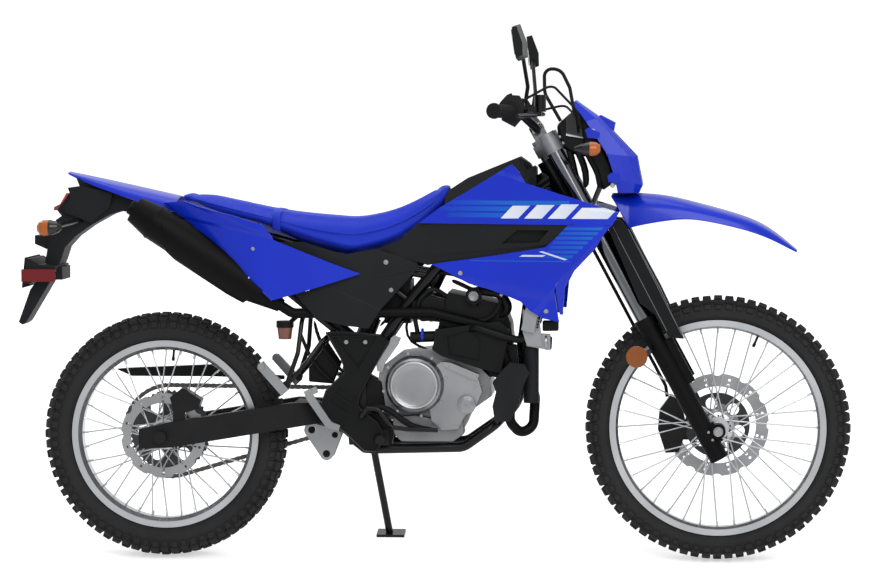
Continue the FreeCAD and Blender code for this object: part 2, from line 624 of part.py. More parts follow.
def build_engine():
    """Engine, cooling, intake and exhaust."""
    case = side([(849, 473), (852, 426), (802, 390), (781, 342), (767, 324), (648, 326), (636, 347),
                 (582, 389), (556, 436), (565, 495), (612, 531), (700, 545), (800, 520)], -92, 92)
    keep("engine_case", cut(case, [box(500, 612, 50, 120, 300, 540)]))
    cover = turned([(-150, 59), (-142, 68), (-128, 75), (-92, 75), (-92, 20), (-150, 20)], 657, 457)
    centre = disc(657, 457, 40, -148, -92)
    ring = turned([(-152, 59), (-152, 53), (-146, 53), (-146, 59)], 657, 457)
    lobe = side([(727, 516), (821, 469), (829, 440), (807, 389), (786, 380), (768, 344), (727, 341),
                 (700, 366), (690, 440), (700, 500)], -126, -92)
    flange = side([(730, 517), (751, 514), (822, 485), (819, 470), (804, 473), (733, 505)], -138, -110)
    pump = turned([(-146, 13), (-140, 22), (-120, 24), (-120, 4), (-146, 4)], 790, 408)
    pump = fuse([pump, disc(790, 408, 12, -142, -110)])
    left = fuse([turned([(90, 10), (90, 78), (118, 78), (130, 68), (136, 50), (136, 10)], 735, 432),
                 disc(735, 432, 30, 90, 134),
                 side([(560, 350), (640, 338), (690, 400), (660, 480), (580, 470), (552, 430)], 90, 114)])
    keep("engine_covers", fuse([cover, centre, ring, lobe, flange, pump]), left)
    barrel = side([(690, 520), (870, 470), (905, 560), (900, 610), (880, 660), (740, 690), (716, 610)],
                  -72, 72)
    head_cover = side([(716, 610), (870, 560), (890, 640), (880, 662), (740, 692)], -88, 88)
    plate = side([(709, 598), (874, 620), (898, 599), (877, 487), (827, 498), (726, 530), (703, 545)],
                 -122, -84)
    window = side([(739, 581), (804, 599), (827, 570), (822, 517), (745, 534)], -124, -114)
    throttle = rod((745, 0, 644), (640, 0, 655), 38)
    airbox = box(574, 642, -62, 62, 610, 720)
    hose = tube([(806, -84, 660), (812, -92, 700), (874, -92, 690), (896, -86, 652), (862, -70, 618)],
                13, 22)
    cap = fuse([disc(807, 684, 21, -116, -88), disc(807, 684, 15, -124, -110)])
    sensor = rod((644, -94, 576), (724, -94, 580), 14)
    breather = tube([(738, -80, 680), (700, -94, 706), (666, -98, 672), (656, -94, 620),
                     (664, -94, 580)], 6, 25)
    lower_hose = tube([(800, -112, 600), (818, -135, 604), (881, -137, 584), (917, -128, 574),
                       (946, -112, 576)], 9.5, 20)
    keep("cylinder", fuse([barrel, head_cover, throttle, airbox, plate.cut(window), hose,
                           cap, sensor, breather, lower_hose]))
    core = side([(930, 600), (962, 592), (1010, 820), (978, 830)], -150, -30)
    elbow = fuse([side([(933, 652), (974, 628), (983, 557), (944, 557), (933, 593)], -128, -92),
                  side([(939, 590), (1003, 587), (1003, 546), (944, 557)], -122, -98)])
    keep("radiator", fuse([core, elbow]), mirrored(core))
    tank = fuse([side([(884, 499), (902, 517), (938, 511), (950, 490), (929, 442), (923, 406),
                       (902, 366), (863, 366), (857, 405), (866, 442), (857, 466)], -150, -113),
                 rod((872, -118, 388), (863, -78, 356), 6)])
    keep("canisters", tank,
         rod((953.5, -92, 410), (953.5, -92, 555), 19.5))
    header = tube([(870, -20, 560), (936, -34, 520), (962, -54, 420), (958, -58, 345), (925, -68, 328),
                   (898, -84, 360), (902, -92, 470), (866, -104, 600), (700, -106, 640),
                   (430, -120, 640), (346, -137, 639), (313, -139.9, 660.7)], 13, 34)
    keep("header", header)
    tail = Vector(235, -142, 712)
    run = Vector(-58, -150, 905) - tail
    run.normalize()
    can = spun([(-98, 0), (-98, 17), (-18, 38), (12, 45), (290, 46), (351, 34), (351, 16),
                (362, 16), (362, 0)], tuple(tail), tuple(tail + run))
    shell = spun([(-60, 48.5), (-60, 52), (320, 52), (320, 48.5)], tuple(tail), tuple(tail + run))
    outline = side([(20, 873), (39, 885), (77, 877), (106, 852), (275, 698), (222, 667), (179, 688),
                    (50, 771), (24, 800)], -260, -146)
    posts = [rod(tail + run * t - Vector(0, 40, 0), tail + run * t - Vector(0, 50, 0), 7)
             for t in (60, 200)]
    keep("silencer", fuse([can, solid(shell.common(outline))] + posts))


def build_tank():
    """Fuel tank, shrouds and covers."""
    tank = stack([
        [(730, -60, 800), (730, -90, 880), (730, -50, 946), (730, 50, 946), (730, 90, 880),
         (730, 60, 800)],
        [(789, -90, 790), (789, -118, 880), (789, -60, 984), (789, 60, 984), (789, 118, 880),
         (789, 90, 790)],
        [(921, -110, 812), (921, -128, 900), (921, -52, 1038), (921, 52, 1038), (921, 128, 900),
         (921, 110, 812)],
        [(964, -110, 850), (964, -120, 920), (964, -50, 1010), (964, 50, 1010), (964, 120, 920),
         (964, 110, 850)]])
    sweep = fork_plate(CLAMP_TOP[0] - 9, 960, [
        (-STEM_BACK - b, y) for b, y in ((40, -14), (40, 14), (48, 45), (57, 66), (76, 80), (76, 135),
                                         (-60, 135), (-60, -135), (76, -135), (76, -80), (57, -66),
                                         (48, -45))])
    sides = [fork_plate(600, 960, [(-STEM_BACK - b, s * y) for b, y in (
        (-60, 69), (50, 69), (66, 82), (66, 140), (-60, 140))]) for s in (-1, 1)]
    for s in [sweep] + sides:
        s.translate(STEER)
    neck = rod(head(775) + Vector(60, 0, 30), (700, 0, 790), 40)
    keep("fuel_tank", cut(tank, [neck, sweep] + sides))
    plan_line = [(560, -118), (670, -132), (830, -158), (1000, -182), (1110, -196), (1200, -190)]
    wall = band(plan_line, PANEL, 600, 1060)
    upper = side([(906, 1021), (787, 948), (723, 911), (668, 870), (1051, 868), (1160, 868),
                  (1174, 890), (1176, 901), (1096, 925), (1015, 950), (942, 973), (926, 1000)],
                 -400, 0)
    lower = side([(700, 766), (760, 737), (797, 717), (847, 704), (897, 686), (929, 673), (952, 651),
                  (984, 631), (1027, 622), (1022, 651), (1015, 701), (1020, 719), (1038, 742),
                  (1123, 824), (1168, 886), (1051, 872), (1024, 841), (992, 811), (865, 790)],
                 -400, 0)
    shroud = solid(fuse([upper, lower]).common(wall))
    flap = stack([[(fx, fy, fz), (gx, gy, gz), (gx, gy + PANEL, gz), (fx, fy + PANEL, fz)]
                  for (fx, fy, fz), (gx, gy, gz) in (
                      ((1140, -196, 852), (1145, -192, 853)), ((1110, -198, 814), (1119, -189, 808)),
                      ((1036, -190, 744), (1062, -180, 748)), ((1018, -187, 712), (1042, -176, 708)),
                      ((1028, -160, 640), (1036, -156, 639)))])
    bosses = [rod((972, -184, 700), (972, -140, 700), 7), rod((900, -172, 900), (900, -110, 900), 7)]
    keep("shrouds", *pair(fuse([shroud, flap] + bosses)))
    insert = side([(668, 873), (1051, 871), (1026, 838), (994, 809), (865, 786), (787, 780),
                   (690, 763), (677, 768), (663, 772), (557, 803), (617, 824)], -400, 0)
    insert = cut(insert, [side([(881, 820), (920, 854), (1001, 854), (974, 823)], -400, 0)])
    inner_wall = band([(x, y + PANEL + 1) for x, y in plan_line], PANEL, 600, 1060)
    keep("tank_covers", *pair(solid(insert.common(inner_wall))))


def build_body():
    """Seat, side panels and tail."""
    seat_line = [(48, 940, 60), (120, 934, 88), (266, 903, 112), (388, 885, 124),
                 (498, 877, 118), (600, 897, 96), (672, 929, 72), (740, 965, 54), (764, 967, 40)]
    low_line = [930, 904, 866, 824, 799, 826, 868, 922, 954]
    sections = []
    for (x, top, half), low in zip(seat_line, low_line):
        sections.append([(x, -half, low), (x, -half, low + 0.55 * (top - low)),
                         (x, -half * 0.8, top - 4), (x, -half * 0.3, top), (x, half * 0.3, top),
                         (x, half * 0.8, top - 4), (x, half, low + 0.55 * (top - low)),
                         (x, half, low)])
    keep("seat", stack(sections))
    blue = side([(521, 741), (444, 717), (359, 691), (307, 677), (296, 674), (165, 799), (75, 874),
                 (9, 920), (65, 925), (103, 912), (196, 890), (277, 866), (303, 828), (445, 770)],
                -400, 0)
    tail_wall = band([(0, -103), (40, -112), (160, -160), (260, -188), (400, -174), (560, -140)], PANEL, 600, 960)
    boss = rod((230, -176, 790), (230, -84, 790), 6)
    keep("side_panels", *pair(fuse([solid(blue.common(tail_wall)), boss])))
    black = side([(305, 822), (520, 741), (354, 688), (408, 627), (481, 608), (540, 601), (569, 648),
                  (667, 756), (662, 772), (557, 804), (479, 790), (376, 822)], -400, 0)
    mid_wall = band([(280, -150), (420, -152), (560, -130), (680, -118)], PANEL, 560, 960)
    boss = rod((490, -140, 766), (490, -80, 766), 6)
    keep("side_covers", *pair(fuse([solid(black.common(mid_wall)), boss])))
    keep("rear_fender", fender([(-251, 999, 30, 8), (-180, 985, 70, 22), (-120, 972, 92, 28),
                                (-20, 950, 100, 40), (42, 936, 100, 44)], 4))
    under = side([(-226, 984), (-217, 961), (-248, 957), (-243, 944), (-276, 899), (-264, 884),
                  (-279, 874), (-297, 841), (-303, 792), (-309, 763), (-279, 744), (-267, 768),
                  (-256, 802), (-230, 830), (-191, 858), (-139, 887), (-107, 897), (20, 878),
                  (20, 902), (-134, 946)], -52, 52)
    hood = side([(-211, 962), (-242, 956), (-239, 933), (-256, 906), (-251, 892), (-185, 867),
                 (-137, 907), (-129, 943)], -66, 66)
    lamp_box = side([(-337, 833), (-290, 833), (-290, 790), (-298, 794), (-337, 811)], -40, 40)
    bracket = side([(-353, 775), (-339, 775), (-316, 760), (-273, 756), (-273, 740), (-352, 740)],
                   -98, 98)
    plate = side([(-361, 700), (-353, 778), (-349, 778), (-357, 700)], -98, 98)
    normal = Vector(-78, 0, 8)
    normal.normalize()
    holes = []
    for s in (-1, 1):
        at = Vector(-355, s * PLATE_BOLTS / 2, 739)
        holes.append(rod(at - normal * 12, at + normal * 12, PLATE_HOLE))
    block = side([(-302, 719), (-302, 752), (-262, 752), (-262, 719)], -60, 60)
    flap = side([(-349, 693), (-334, 713), (-312, 728), (-284, 728), (-297, 713), (-360, 608),
                 (-370, 601), (-380, 608)], -44, 44)
    flap = cut(flap, [side([(-349, 690), (-340, 704), (-306, 704), (-366, 608), (-372, 606)],
                           -38, 38).translated(Vector(-6, 0, -4))])
    keep("tail_unit", cut(fuse([under, hood, lamp_box, bracket, plate, block, flap]), holes))
    keep("tail_light", fuse([side([(-252, 943), (-243, 943), (-262, 900), (-285, 898), (-284, 907),
                                   (-268, 915)], -50, 50)]))
    shell = spun([(0, 0), (1, 9), (7, 17), (17, 20.5), (36, 20), (54, 14), (63, 6), (63, 0)],
                 (-305, -179, 856), (-242, -179, 860))
    rear_signal = fuse([shell, rod((-262, -166, 861), (-210, -40, 874), 7)])
    reflector = box(-361, -273, -104, -98, 716, 748)
    keep("rear_signals", *(pair(rear_signal) + pair(reflector)))
    drop = REAR_R - 317
    outline = [(22, 418), (55, 444), (104, 412), (96, 390), (60, 378), (28, 396)]
    caliper = side([(x, z + drop) for x, z in outline], -96, -48)
    caliper = caliper.cut(disc(0, REAR_R, REAR_DISC_R + 5, -71, -57))
    keep("rear_caliper", fuse([caliper, box(30, 60, -96, -78, 350 + drop, 400 + drop)]))


def chain_outline(dx, dz, shift, waist):
    """Closed outline round both sprockets, wider at every second pin."""
    length = math.hypot(dx, dz)
    tilt = math.atan2(dz, dx)
    spread = math.acos((CHAIN_R - DRIVE_R) / length)
    straight = math.sqrt(length ** 2 - (CHAIN_R - DRIVE_R) ** 2)
    bottom = 2 * (math.pi - spread) * CHAIN_R
    nose = 2 * spread * DRIVE_R
    total = bottom + nose + 2 * straight
    links = 2 * round(total / 15.875 / 2)
    points = []
    for k in range(links):
        t = total * k / links
        off = shift if k % 2 == 0 else waist
        if t < bottom:
            a = tilt + spread + t / CHAIN_R
            x, z, nx, nz = (CHAIN_R * math.cos(a), CHAIN_R * math.sin(a), math.cos(a), math.sin(a))
        elif t < bottom + straight:
            a = tilt - spread
            run = t - bottom
            nx, nz = math.cos(a), math.sin(a)
            x, z = (CHAIN_R * nx - nz * run, CHAIN_R * nz + nx * run)
        elif t < bottom + straight + nose:
            a = tilt - spread + (t - bottom - straight) / DRIVE_R
            nx, nz = math.cos(a), math.sin(a)
            x, z = (dx + DRIVE_R * nx, dz + DRIVE_R * nz)
        else:
            a = tilt + spread
            run = total - t
            nx, nz = math.cos(a), math.sin(a)
            x, z = (CHAIN_R * nx + nz * run, CHAIN_R * nz - nx * run)
        points.append((x + nx * off, REAR_R + z + nz * off))
    return points


def build_small():
    """Chain, pegs, pedals and brackets."""
    dx = DRIVE[0]
    dz = DRIVE[1] - REAR_R
    outside = side(chain_outline(dx, dz, 7.5, 5.0), CHAIN_Y - 8, CHAIN_Y + 8)
    inside = side(chain_outline(dx, dz, -7.5, -5.0), CHAIN_Y - 9, CHAIN_Y + 9)
    keep("chain", solid(outside.cut(inside)))
    peg = fuse([rod((560, -104, 318), (575, -206, 322), PEG_R + 1),
                box(545, 590, -112, -100, 300, 340)])
    hanger = fuse([disc(330, 456, 11, -150, -138),
                   tube([(376, -84, 655), (366, -108, 618), (358, -132, 537), (330, -144, 456)], 6, 40),
                   tube([(452, -84, 596), (418, -112, 566), (381, -134, 513), (330, -144, 456)], 6, 40)])
    pedal = fuse([tube([(536, -150, 399), (566, -150, 396), (600, -150, 350), (640, -152, 345),
                        (718, -156, 344)], 6, 15),
                  tube([(536, -150, 399), (522, -150, 376), (520, -92, 372)], 6, 12)])
    keep("foot_controls", *(pair(peg) + pair(hanger) + [pedal]))
    link = fuse([disc(383, 331, 20, -34, 34), disc(421, 269, 17, -34, 34), disc(443, 318, 15, -34, 34),
                 side([(376, 350), (449, 332), (456, 311), (436, 260), (405, 263), (365, 322)],
                      -34, 34)])
    link = cut(link, [box(350, 470, -26, 26, 240, 322), disc(421, 269, 8, -40, 40),
                      disc(443, 318, 7, -40, 40), disc(383, 331, 10, -40, 40)])
    rod_end = side([(372, 438), (404, 451), (409, 436), (396, 430), (444, 360), (466, 352), (462, 338),
                    (430, 346), (380, 418)], -130, -120)
    hanger = fuse([side([(604, 582), (621, 576), (615, 560), (581, 512), (572, 488), (560, 490),
                         (557, 506), (591, 560), (595, 575)], -113, -106),
                   rod((598, -110, 560), (592, -74, 560), 6), rod((566, -110, 499), (566, -86, 499), 6)])
    rear_peg = fuse([side([(263, 511), (275, 514), (338, 446), (320, 430), (258, 500)], -168, -150),
                     disc(268, 505, 9, -173, -146)])
    keep("alloy_brackets", *([link, rod_end, hanger] + pair(rear_peg)))
    guard = side([(428, 590), (467, 594), (570, 585), (591, 567), (518, 433), (512, 403), (524, 385),
                  (561, 361), (573, 343), (573, 306), (561, 284), (524, 284), (482, 324), (433, 366),
                  (415, 403), (427, 439), (476, 488), (470, 518)], -120, -112)
    recess = [side([(448, 579), (558, 579), (512, 503)], -130, -116),
              side([(440, 412), (452, 426), (494, 398), (484, 384)], -130, -117),
              side([(452, 436), (464, 450), (506, 422), (496, 408)], -130, -117)]
    guard = fuse([cut(guard, recess), box(486, 504, -114, -96, 440, 456),
                  rod((520, -114, 560), (520, -74, 560), 6), rod((481, -119, 565), (481, -115, 565), 8),
                  rod((530, -119, 565), (530, -115, 565), 8)])
    cup = fuse([rod((322, -104, 571), (322, -104, 602), 16, 19.5),
                rod((322, -104, 601), (322, -104, 618), 22.5),
                rod((330, -100, 609), (374, -84, 650), 6)])
    chain_guard = side([(-141, 479), (-109, 482), (110, 492), (134, 476), (300, 463), (300, 454),
                        (118, 461), (-100, 461)], 56, 78)
    keep("brackets", chain_guard, guard, cup)


SEATED = (
    ("frame", ("swingarm",)), ("engine_case", ("frame",)),
    ("engine_covers", ("frame", "engine_case")), ("header", ("frame", "silencer", "canisters")),
    ("radiator", ("frame",)),
    ("cylinder", ("engine_case", "frame", "engine_covers", "header", "radiator")),
    ("canisters", ("radiator", "frame", "cylinder")), ("headlight", ("fork_clamps",)),
    ("front_fender", ("fork_clamps",)), ("handlebar", ("grips",)), ("fork_guards", ("fork_sliders",)),
    ("fuel_tank", ("frame", "seat")), ("shock", ("frame", "swingarm")), ("cowl", ("headlight",)),
    ("fork_clamps", ("handlebar",)), ("mirrors", ("handlebar",)), ("cables", ("handlebar",)),
    ("cables", ("headlight", "fork_clamps", "mirrors", "front_caliper")),
    ("side_covers", ("tank_covers", "frame")), ("foot_controls", ("engine_covers", "frame")),
    ("front_caliper", ("fork_sliders",)), ("front_signals", ("cowl", "fork_sliders")),
    ("rear_caliper", ("swingarm",)), ("tail_unit", ("frame", "rear_fender")),
    ("tail_light", ("tail_unit",)), ("rear_signals", ("tail_unit",)),
    ("side_panels", ("frame", "silencer")),
    ("shrouds", ("radiator", "fuel_tank")), ("foot_controls", ("swingarm",)),
    ("brackets", ("frame", "foot_controls", "engine_case", "silencer", "header", "swingarm")),
    ("alloy_brackets", ("frame", "swingarm", "shock", "engine_case", "brackets", "foot_controls",
                        "engine_covers")),
)


def seat_nodes():
    """Cut each node to the faces of the pieces that it sits on."""
    for name, others in SEATED:
        tools = [s for other in others for s in NODES[other]]
        NODES[name] = [solid(s.cut(tools)) for s in NODES[name]]


def leaned(shape):
    """Lean about the ground line."""
    out = shape.copy()
    out.rotate(Vector(0, 0, 0), Vector(1, 0, 0), -LEAN)
    return out


def main():
    """Build every node, lean the machine and write the files."""
    build_wheels()
    low = min(leaned(NODES[name][0]).BoundBox.ZMin for name in ("front_tyre", "rear_tyre"))
    build_fork()
    build_cowl()
    build_bar()
    build_front_body()
    build_frame()
    build_rear(low)
    build_engine()
    build_tank()
    build_body()
    build_small()
    seat_nodes()
    os.makedirs("parts", exist_ok=True)
    done = {name: [leaned(s) for s in solids] for name, solids in NODES.items()}
    bound = FreeCAD.BoundBox()
    for solids in done.values():
        for s in solids:
            bound.add(s.BoundBox)
    shift = Vector(-bound.Center.x, -bound.Center.y, -low)
    print("shift", tuple(shift), "size", bound.XLength, bound.YLength, bound.ZLength)
    for name, solids in done.items():
        for s in solids:
            s.translate(shift)
        shape = solids[0] if len(solids) == 1 else Part.makeCompound(solids)
        shape.exportStep("parts/" + name + ".step")
        print(name, [round(s.Volume / 1000) for s in solids], [s.isValid() for s in solids],
              [len(s.Solids) for s in solids])


main()
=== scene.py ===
"""Finishes, soft parts and small parts of a dual sport motorcycle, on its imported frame.

Lengths are in millimetres on the upright machine: X forward from the rear axle, Y to the
rider's left, Z up from the ground. Every mesh is leaned and moved into the frame at the end.
"""

import json
import logging
import math
from collections import Counter
from dataclasses import dataclass, replace
from enum import Enum
from typing import Any, Iterable, Sequence

import bmesh
import bpy
from mathutils import Euler, Matrix, Vector


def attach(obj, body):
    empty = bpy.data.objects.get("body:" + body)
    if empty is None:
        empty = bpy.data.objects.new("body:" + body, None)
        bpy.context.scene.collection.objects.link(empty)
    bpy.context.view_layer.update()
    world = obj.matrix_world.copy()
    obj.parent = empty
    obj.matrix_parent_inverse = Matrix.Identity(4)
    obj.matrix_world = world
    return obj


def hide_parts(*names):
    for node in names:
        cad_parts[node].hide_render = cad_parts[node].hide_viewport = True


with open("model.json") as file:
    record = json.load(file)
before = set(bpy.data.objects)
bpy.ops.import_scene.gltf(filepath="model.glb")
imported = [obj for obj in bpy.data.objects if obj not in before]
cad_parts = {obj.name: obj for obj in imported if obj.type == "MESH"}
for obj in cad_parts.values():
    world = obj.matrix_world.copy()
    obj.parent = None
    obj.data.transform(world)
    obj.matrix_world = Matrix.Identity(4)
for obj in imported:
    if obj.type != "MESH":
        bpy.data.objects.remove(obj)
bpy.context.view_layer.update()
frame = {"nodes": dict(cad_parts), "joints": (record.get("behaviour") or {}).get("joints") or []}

logging.basicConfig(level=logging.INFO, format="%(name)s: %(message)s")
LOG = logging.getLogger("machine")

Point = Sequence[float]
Outline = Sequence[tuple[float, float]]
Colour = tuple[float, float, float, float]
Spot = tuple[Point, Euler, Point]
Tree = bpy.types.NodeTree
Node = bpy.types.Node
Socket = bpy.types.NodeSocket
Mesh = bpy.types.Mesh
Piece = bpy.types.Object


@dataclass(frozen=True)
class Machine:
    """Places that several sub-assemblies share."""

    lean: float = math.radians(9.0)
    wheelbase: float = 1430.0
    front_radius: float = 341.0
    rear_radius: float = 317.0
    caster: float = math.radians(28.3)
    axle_lead: float = 31.0
    fork_half: float = 98.0
    chain_y: float = 64.0
    chain_radius: float = 120.0
    drive_radius: float = 36.0
    drive: tuple[float, float] = (560.0, 396.0)
    clutch: tuple[float, float] = (657.0, 457.0)

    def standing(self) -> Matrix:
        """Matrix from upright millimetres to the frame in metres, from the front hinge."""
        hinge = next(j for j in frame["joints"] if j["name"] == "front_wheel_spin")
        turn = Matrix.Rotation(-self.lean, 4, "X") @ Matrix.Scale(0.001, 4)
        hub = turn @ Vector((self.wheelbase, 0.0, self.front_radius))
        return Matrix.Translation(Vector(hinge["pos_m"]) - hub) @ turn

    def fork(self, up: float, ahead: float, y: float) -> Vector:
        """Point so far up the fork leg from the axle, ahead of the leg and to the left."""
        s, c = math.sin(self.caster), math.cos(self.caster)
        x = self.wheelbase - self.axle_lead * c - s * up + c * ahead
        z = self.front_radius - self.axle_lead * s + c * up + s * ahead
        return Vector((x, y, z))


MACHINE = Machine()
STANDING = MACHINE.standing()


class Body(Enum):
    """The moving bodies of the machine."""

    CHASSIS = "chassis"
    STEERING = "steering"
    FRONT_WHEEL = "front_wheel"
    REAR_WHEEL = "rear_wheel"
    SIDE_STAND = "side_stand"


def srgb(red: int, green: int, blue: int) -> Colour:
    """Screen colour from 0 to 255 as a linear colour with alpha."""
    def channel(v: int) -> float:
        """One channel, made linear."""
        s = v / 255.0
        return s / 12.92 if s <= 0.04045 else ((s + 0.055) / 1.055) ** 2.4
    return channel(red), channel(green), channel(blue), 1.0


class NodeTree:
    """Adds and joins the nodes of one tree."""

    def __init__(self, tree: Tree) -> None:
        """Keeps the tree that is built."""
        self.tree = tree

    def add(self, kind: str, inputs: dict[Any, Any] | None = None, **settings: Any) -> Node:
        """Adds a node.

        Args:
            kind: The node's type name.
            inputs: Socket name or number to a value or an output socket.
            settings: Properties of the node.

        Returns:
            The new node.
        """
        node = self.tree.nodes.new(kind)
        for name, value in settings.items():
            setattr(node, name, value)
        for key, value in (inputs or {}).items():
            self.put(node.inputs[key], value)
        return node

    def put(self, socket: Socket, value: Any) -> None:
        """Joins an output to the socket, or writes a plain value in it."""
        if isinstance(value, Socket):
            self.tree.links.new(value, socket)
        else:
            socket.default_value = value

    def math(self, operation: str, *values: Any, clamp: bool = False) -> Socket:
        """A Math node's result on up to three values."""
        node = self.add("ShaderNodeMath", operation=operation, use_clamp=clamp)
        for i, value in enumerate(values):
            self.put(node.inputs[i], value)
        return node.outputs[0]

    def spread(self, value: Any, low: float, high: float, to_low: float = 0.0,
               to_high: float = 1.0) -> Socket:
        """A Map Range node's clamped result."""
        node = self.add("ShaderNodeMapRange", {0: value, 1: low, 2: high, 3: to_low, 4: to_high})
        return node.outputs[0]

    def blend(self, share: Any, first: Any, second: Any) -> Socket:
        """Colour mixed from the first to the second by a share."""
        node = self.add("ShaderNodeMix", data_type="RGBA")
        self.put(node.inputs[0], share)
        self.put(node.inputs[6], first)
        self.put(node.inputs[7], second)
        return node.outputs[2]

    def group(self, tree: Tree, **inputs: Any) -> Node:
        """Places a group with values for its named inputs."""
        node = self.add("ShaderNodeGroup", node_tree=tree)
        for name, value in inputs.items():
            self.put(node.inputs[name.title()], value)
        return node

    def noise(self, place: Any, **inputs: Any) -> Socket:
        """A Noise Texture node's factor, with values for its named inputs."""
        return self.add("ShaderNodeTexNoise", {"Vector": place, **inputs}).outputs[0]

    def vector(self, operation: str, first: Any, second: Any = (0.0, 0.0, 0.0)) -> Node:
        """A Vector Math node on two vectors."""
        return self.add("ShaderNodeVectorMath", {0: first, 1: second}, operation=operation)

    def split(self, place: Any) -> Sequence[Socket]:
        """The X, Y and Z of a vector."""
        return self.add("ShaderNodeSeparateXYZ", {0: place}).outputs

    def seen(self) -> Socket:
        """1 where the camera or a gloss sees the surface itself."""
        path = self.add("ShaderNodeLightPath").outputs
        return self.math("MAXIMUM", path["Is Camera Ray"], path["Is Glossy Ray"])


def start_tree(family: str, name: str, inputs: Sequence[tuple[str, str, Any]],
               outputs: Sequence[tuple[str, str]]) -> tuple[NodeTree, Any, Any]:
    """Makes an empty node group with named sockets.

    Args:
        family: Shader or Geometry.
        name: The group's name.
        inputs: Name, socket type and starting value of each input.
        outputs: Name and socket type of each output.

    Returns:
        The tree, the sockets that its inputs give and the sockets of its outputs.
    """
    tree = bpy.data.node_groups.new(name, family + "NodeTree")
    for label, kind, value in inputs:
        socket = tree.interface.new_socket(label, in_out="INPUT", socket_type="NodeSocket" + kind)
        if value is not None:
            socket.default_value = value
    for label, kind in outputs:
        tree.interface.new_socket(label, in_out="OUTPUT", socket_type="NodeSocket" + kind)
    given = tree.nodes.new("NodeGroupInput").outputs
    return NodeTree(tree), given, tree.nodes.new("NodeGroupOutput").inputs


class EffectGroups:
    """Shader effects that several finishes share, each built once."""

    def __init__(self) -> None:
        """Builds every group."""
        self.grain = self._grain()
        self.scuffs = self._scuffs()
        self.dust = self._dust()
        self.band = self._band()
        self.ribs = self._ribs()

    def _grain(self) -> Tree:
        """Fine moulded or cast grain: a height and a tone that varies slowly."""
        t, given, out = start_tree("Shader", "surface_grain", [
            ("Place", "Vector", None), ("Scale", "Float", 600.0), ("Pebble", "Float", 0.0)],
            [("Height", "Float"), ("Tone", "Float")])
        place, scale = given["Place"], given["Scale"]
        cells = t.add("ShaderNodeTexVoronoi", {"Vector": place, "Scale": scale})
        mixed = t.add("ShaderNodeMix", {
            0: given["Pebble"], 2: t.noise(place, Scale=scale, Detail=3.0),
            3: cells.outputs["Distance"]})
        t.put(out["Height"], mixed.outputs[0])
        t.put(out["Tone"], t.spread(t.noise(place, Scale=7.0, Detail=4.0), 0.3, 0.7))
        return t.tree

    def _scuffs(self) -> Tree:
        """Long thin rub marks as a mask."""
        t, given, out = start_tree("Shader", "rub_marks", [
            ("Place", "Vector", None), ("Amount", "Float", 0.3)], [("Mask", "Float")])
        drawn = t.add("ShaderNodeMapping", {"Vector": given["Place"], "Scale": (9.0, 60.0, 90.0),
                                            "Rotation": (0.0, 0.5, 0.0)}).outputs[0]
        thin = t.spread(t.noise(drawn, Scale=3.0, Detail=6.0, Roughness=0.7), 0.6, 0.72)
        patches = t.spread(t.noise(given["Place"], Scale=11.0), 0.45, 0.62)
        both = t.math("MULTIPLY", thin, patches)
        t.put(out["Mask"], t.math("MULTIPLY", both, given["Amount"], clamp=True))
        return t.tree

    def _dust(self) -> Tree:
        """A light film that thickens towards the ground, as a mask."""
        t, given, out = start_tree("Shader", "road_film", [
            ("Place", "Vector", None), ("Amount", "Float", 0.1)], [("Mask", "Float")])
        height = t.spread(t.split(given["Place"])[2], 0.05, 0.75, 1.0, 0.0)
        cloud = t.spread(t.noise(given["Place"], Scale=14.0, Detail=5.0), 0.35, 0.75)
        film = t.math("MULTIPLY", height, cloud)
        t.put(out["Mask"], t.math("MULTIPLY", film, given["Amount"], clamp=True))
        return t.tree

    def _band(self) -> Tree:
        """A slanted four-sided patch seen from the side, as a mask with crisp edges."""
        t, given, out = start_tree("Shader", "slanted_patch", [("Place", "Vector", None)] + [
            (label, "Float", value) for label, value in (
                ("Back", 0.0), ("Front", 1.0), ("Low", 0.0), ("High", 1.0), ("Slant", 0.0),
                ("Rise", 0.0))], [("Mask", "Float")])
        x, _, z = t.split(given["Place"])
        climb = t.math("MULTIPLY", t.math("SUBTRACT", x, given["Back"]), given["Rise"])
        level = t.math("SUBTRACT", z, climb)
        lifted = t.math("SUBTRACT", level, given["Low"])
        along = t.math("SUBTRACT", x, t.math("MULTIPLY", lifted, given["Slant"]))
        soft = 0.0006
        edges = [t.math("SUBTRACT", along, given["Back"]),
                 t.math("SUBTRACT", given["Front"], along), lifted,
                 t.math("SUBTRACT", given["High"], level)]
        mask = t.spread(edges[0], 0.0, soft)
        for edge in edges[1:]:
            mask = t.math("MULTIPLY", mask, t.spread(edge, 0.0, soft))
        t.put(out["Mask"], mask)
        return t.tree

    def _ribs(self) -> Tree:
        """Even ribs along one direction, as a height."""
        t, given, out = start_tree("Shader", "even_ribs", [
            ("Place", "Vector", None), ("Direction", "Vector", (1.0, 0.0, 0.0)),
            ("Pitch", "Float", 0.004)], [("Height", "Float")])
        along = t.vector("DOT_PRODUCT", given["Place"], given["Direction"]).outputs["Value"]
        phase = t.math("DIVIDE", along, given["Pitch"])
        wave = t.math("SINE", t.math("MULTIPLY", phase, 2 * math.pi))
        t.put(out["Height"], t.spread(wave, -0.4, 0.4))
        return t.tree


GROUPS = EffectGroups()


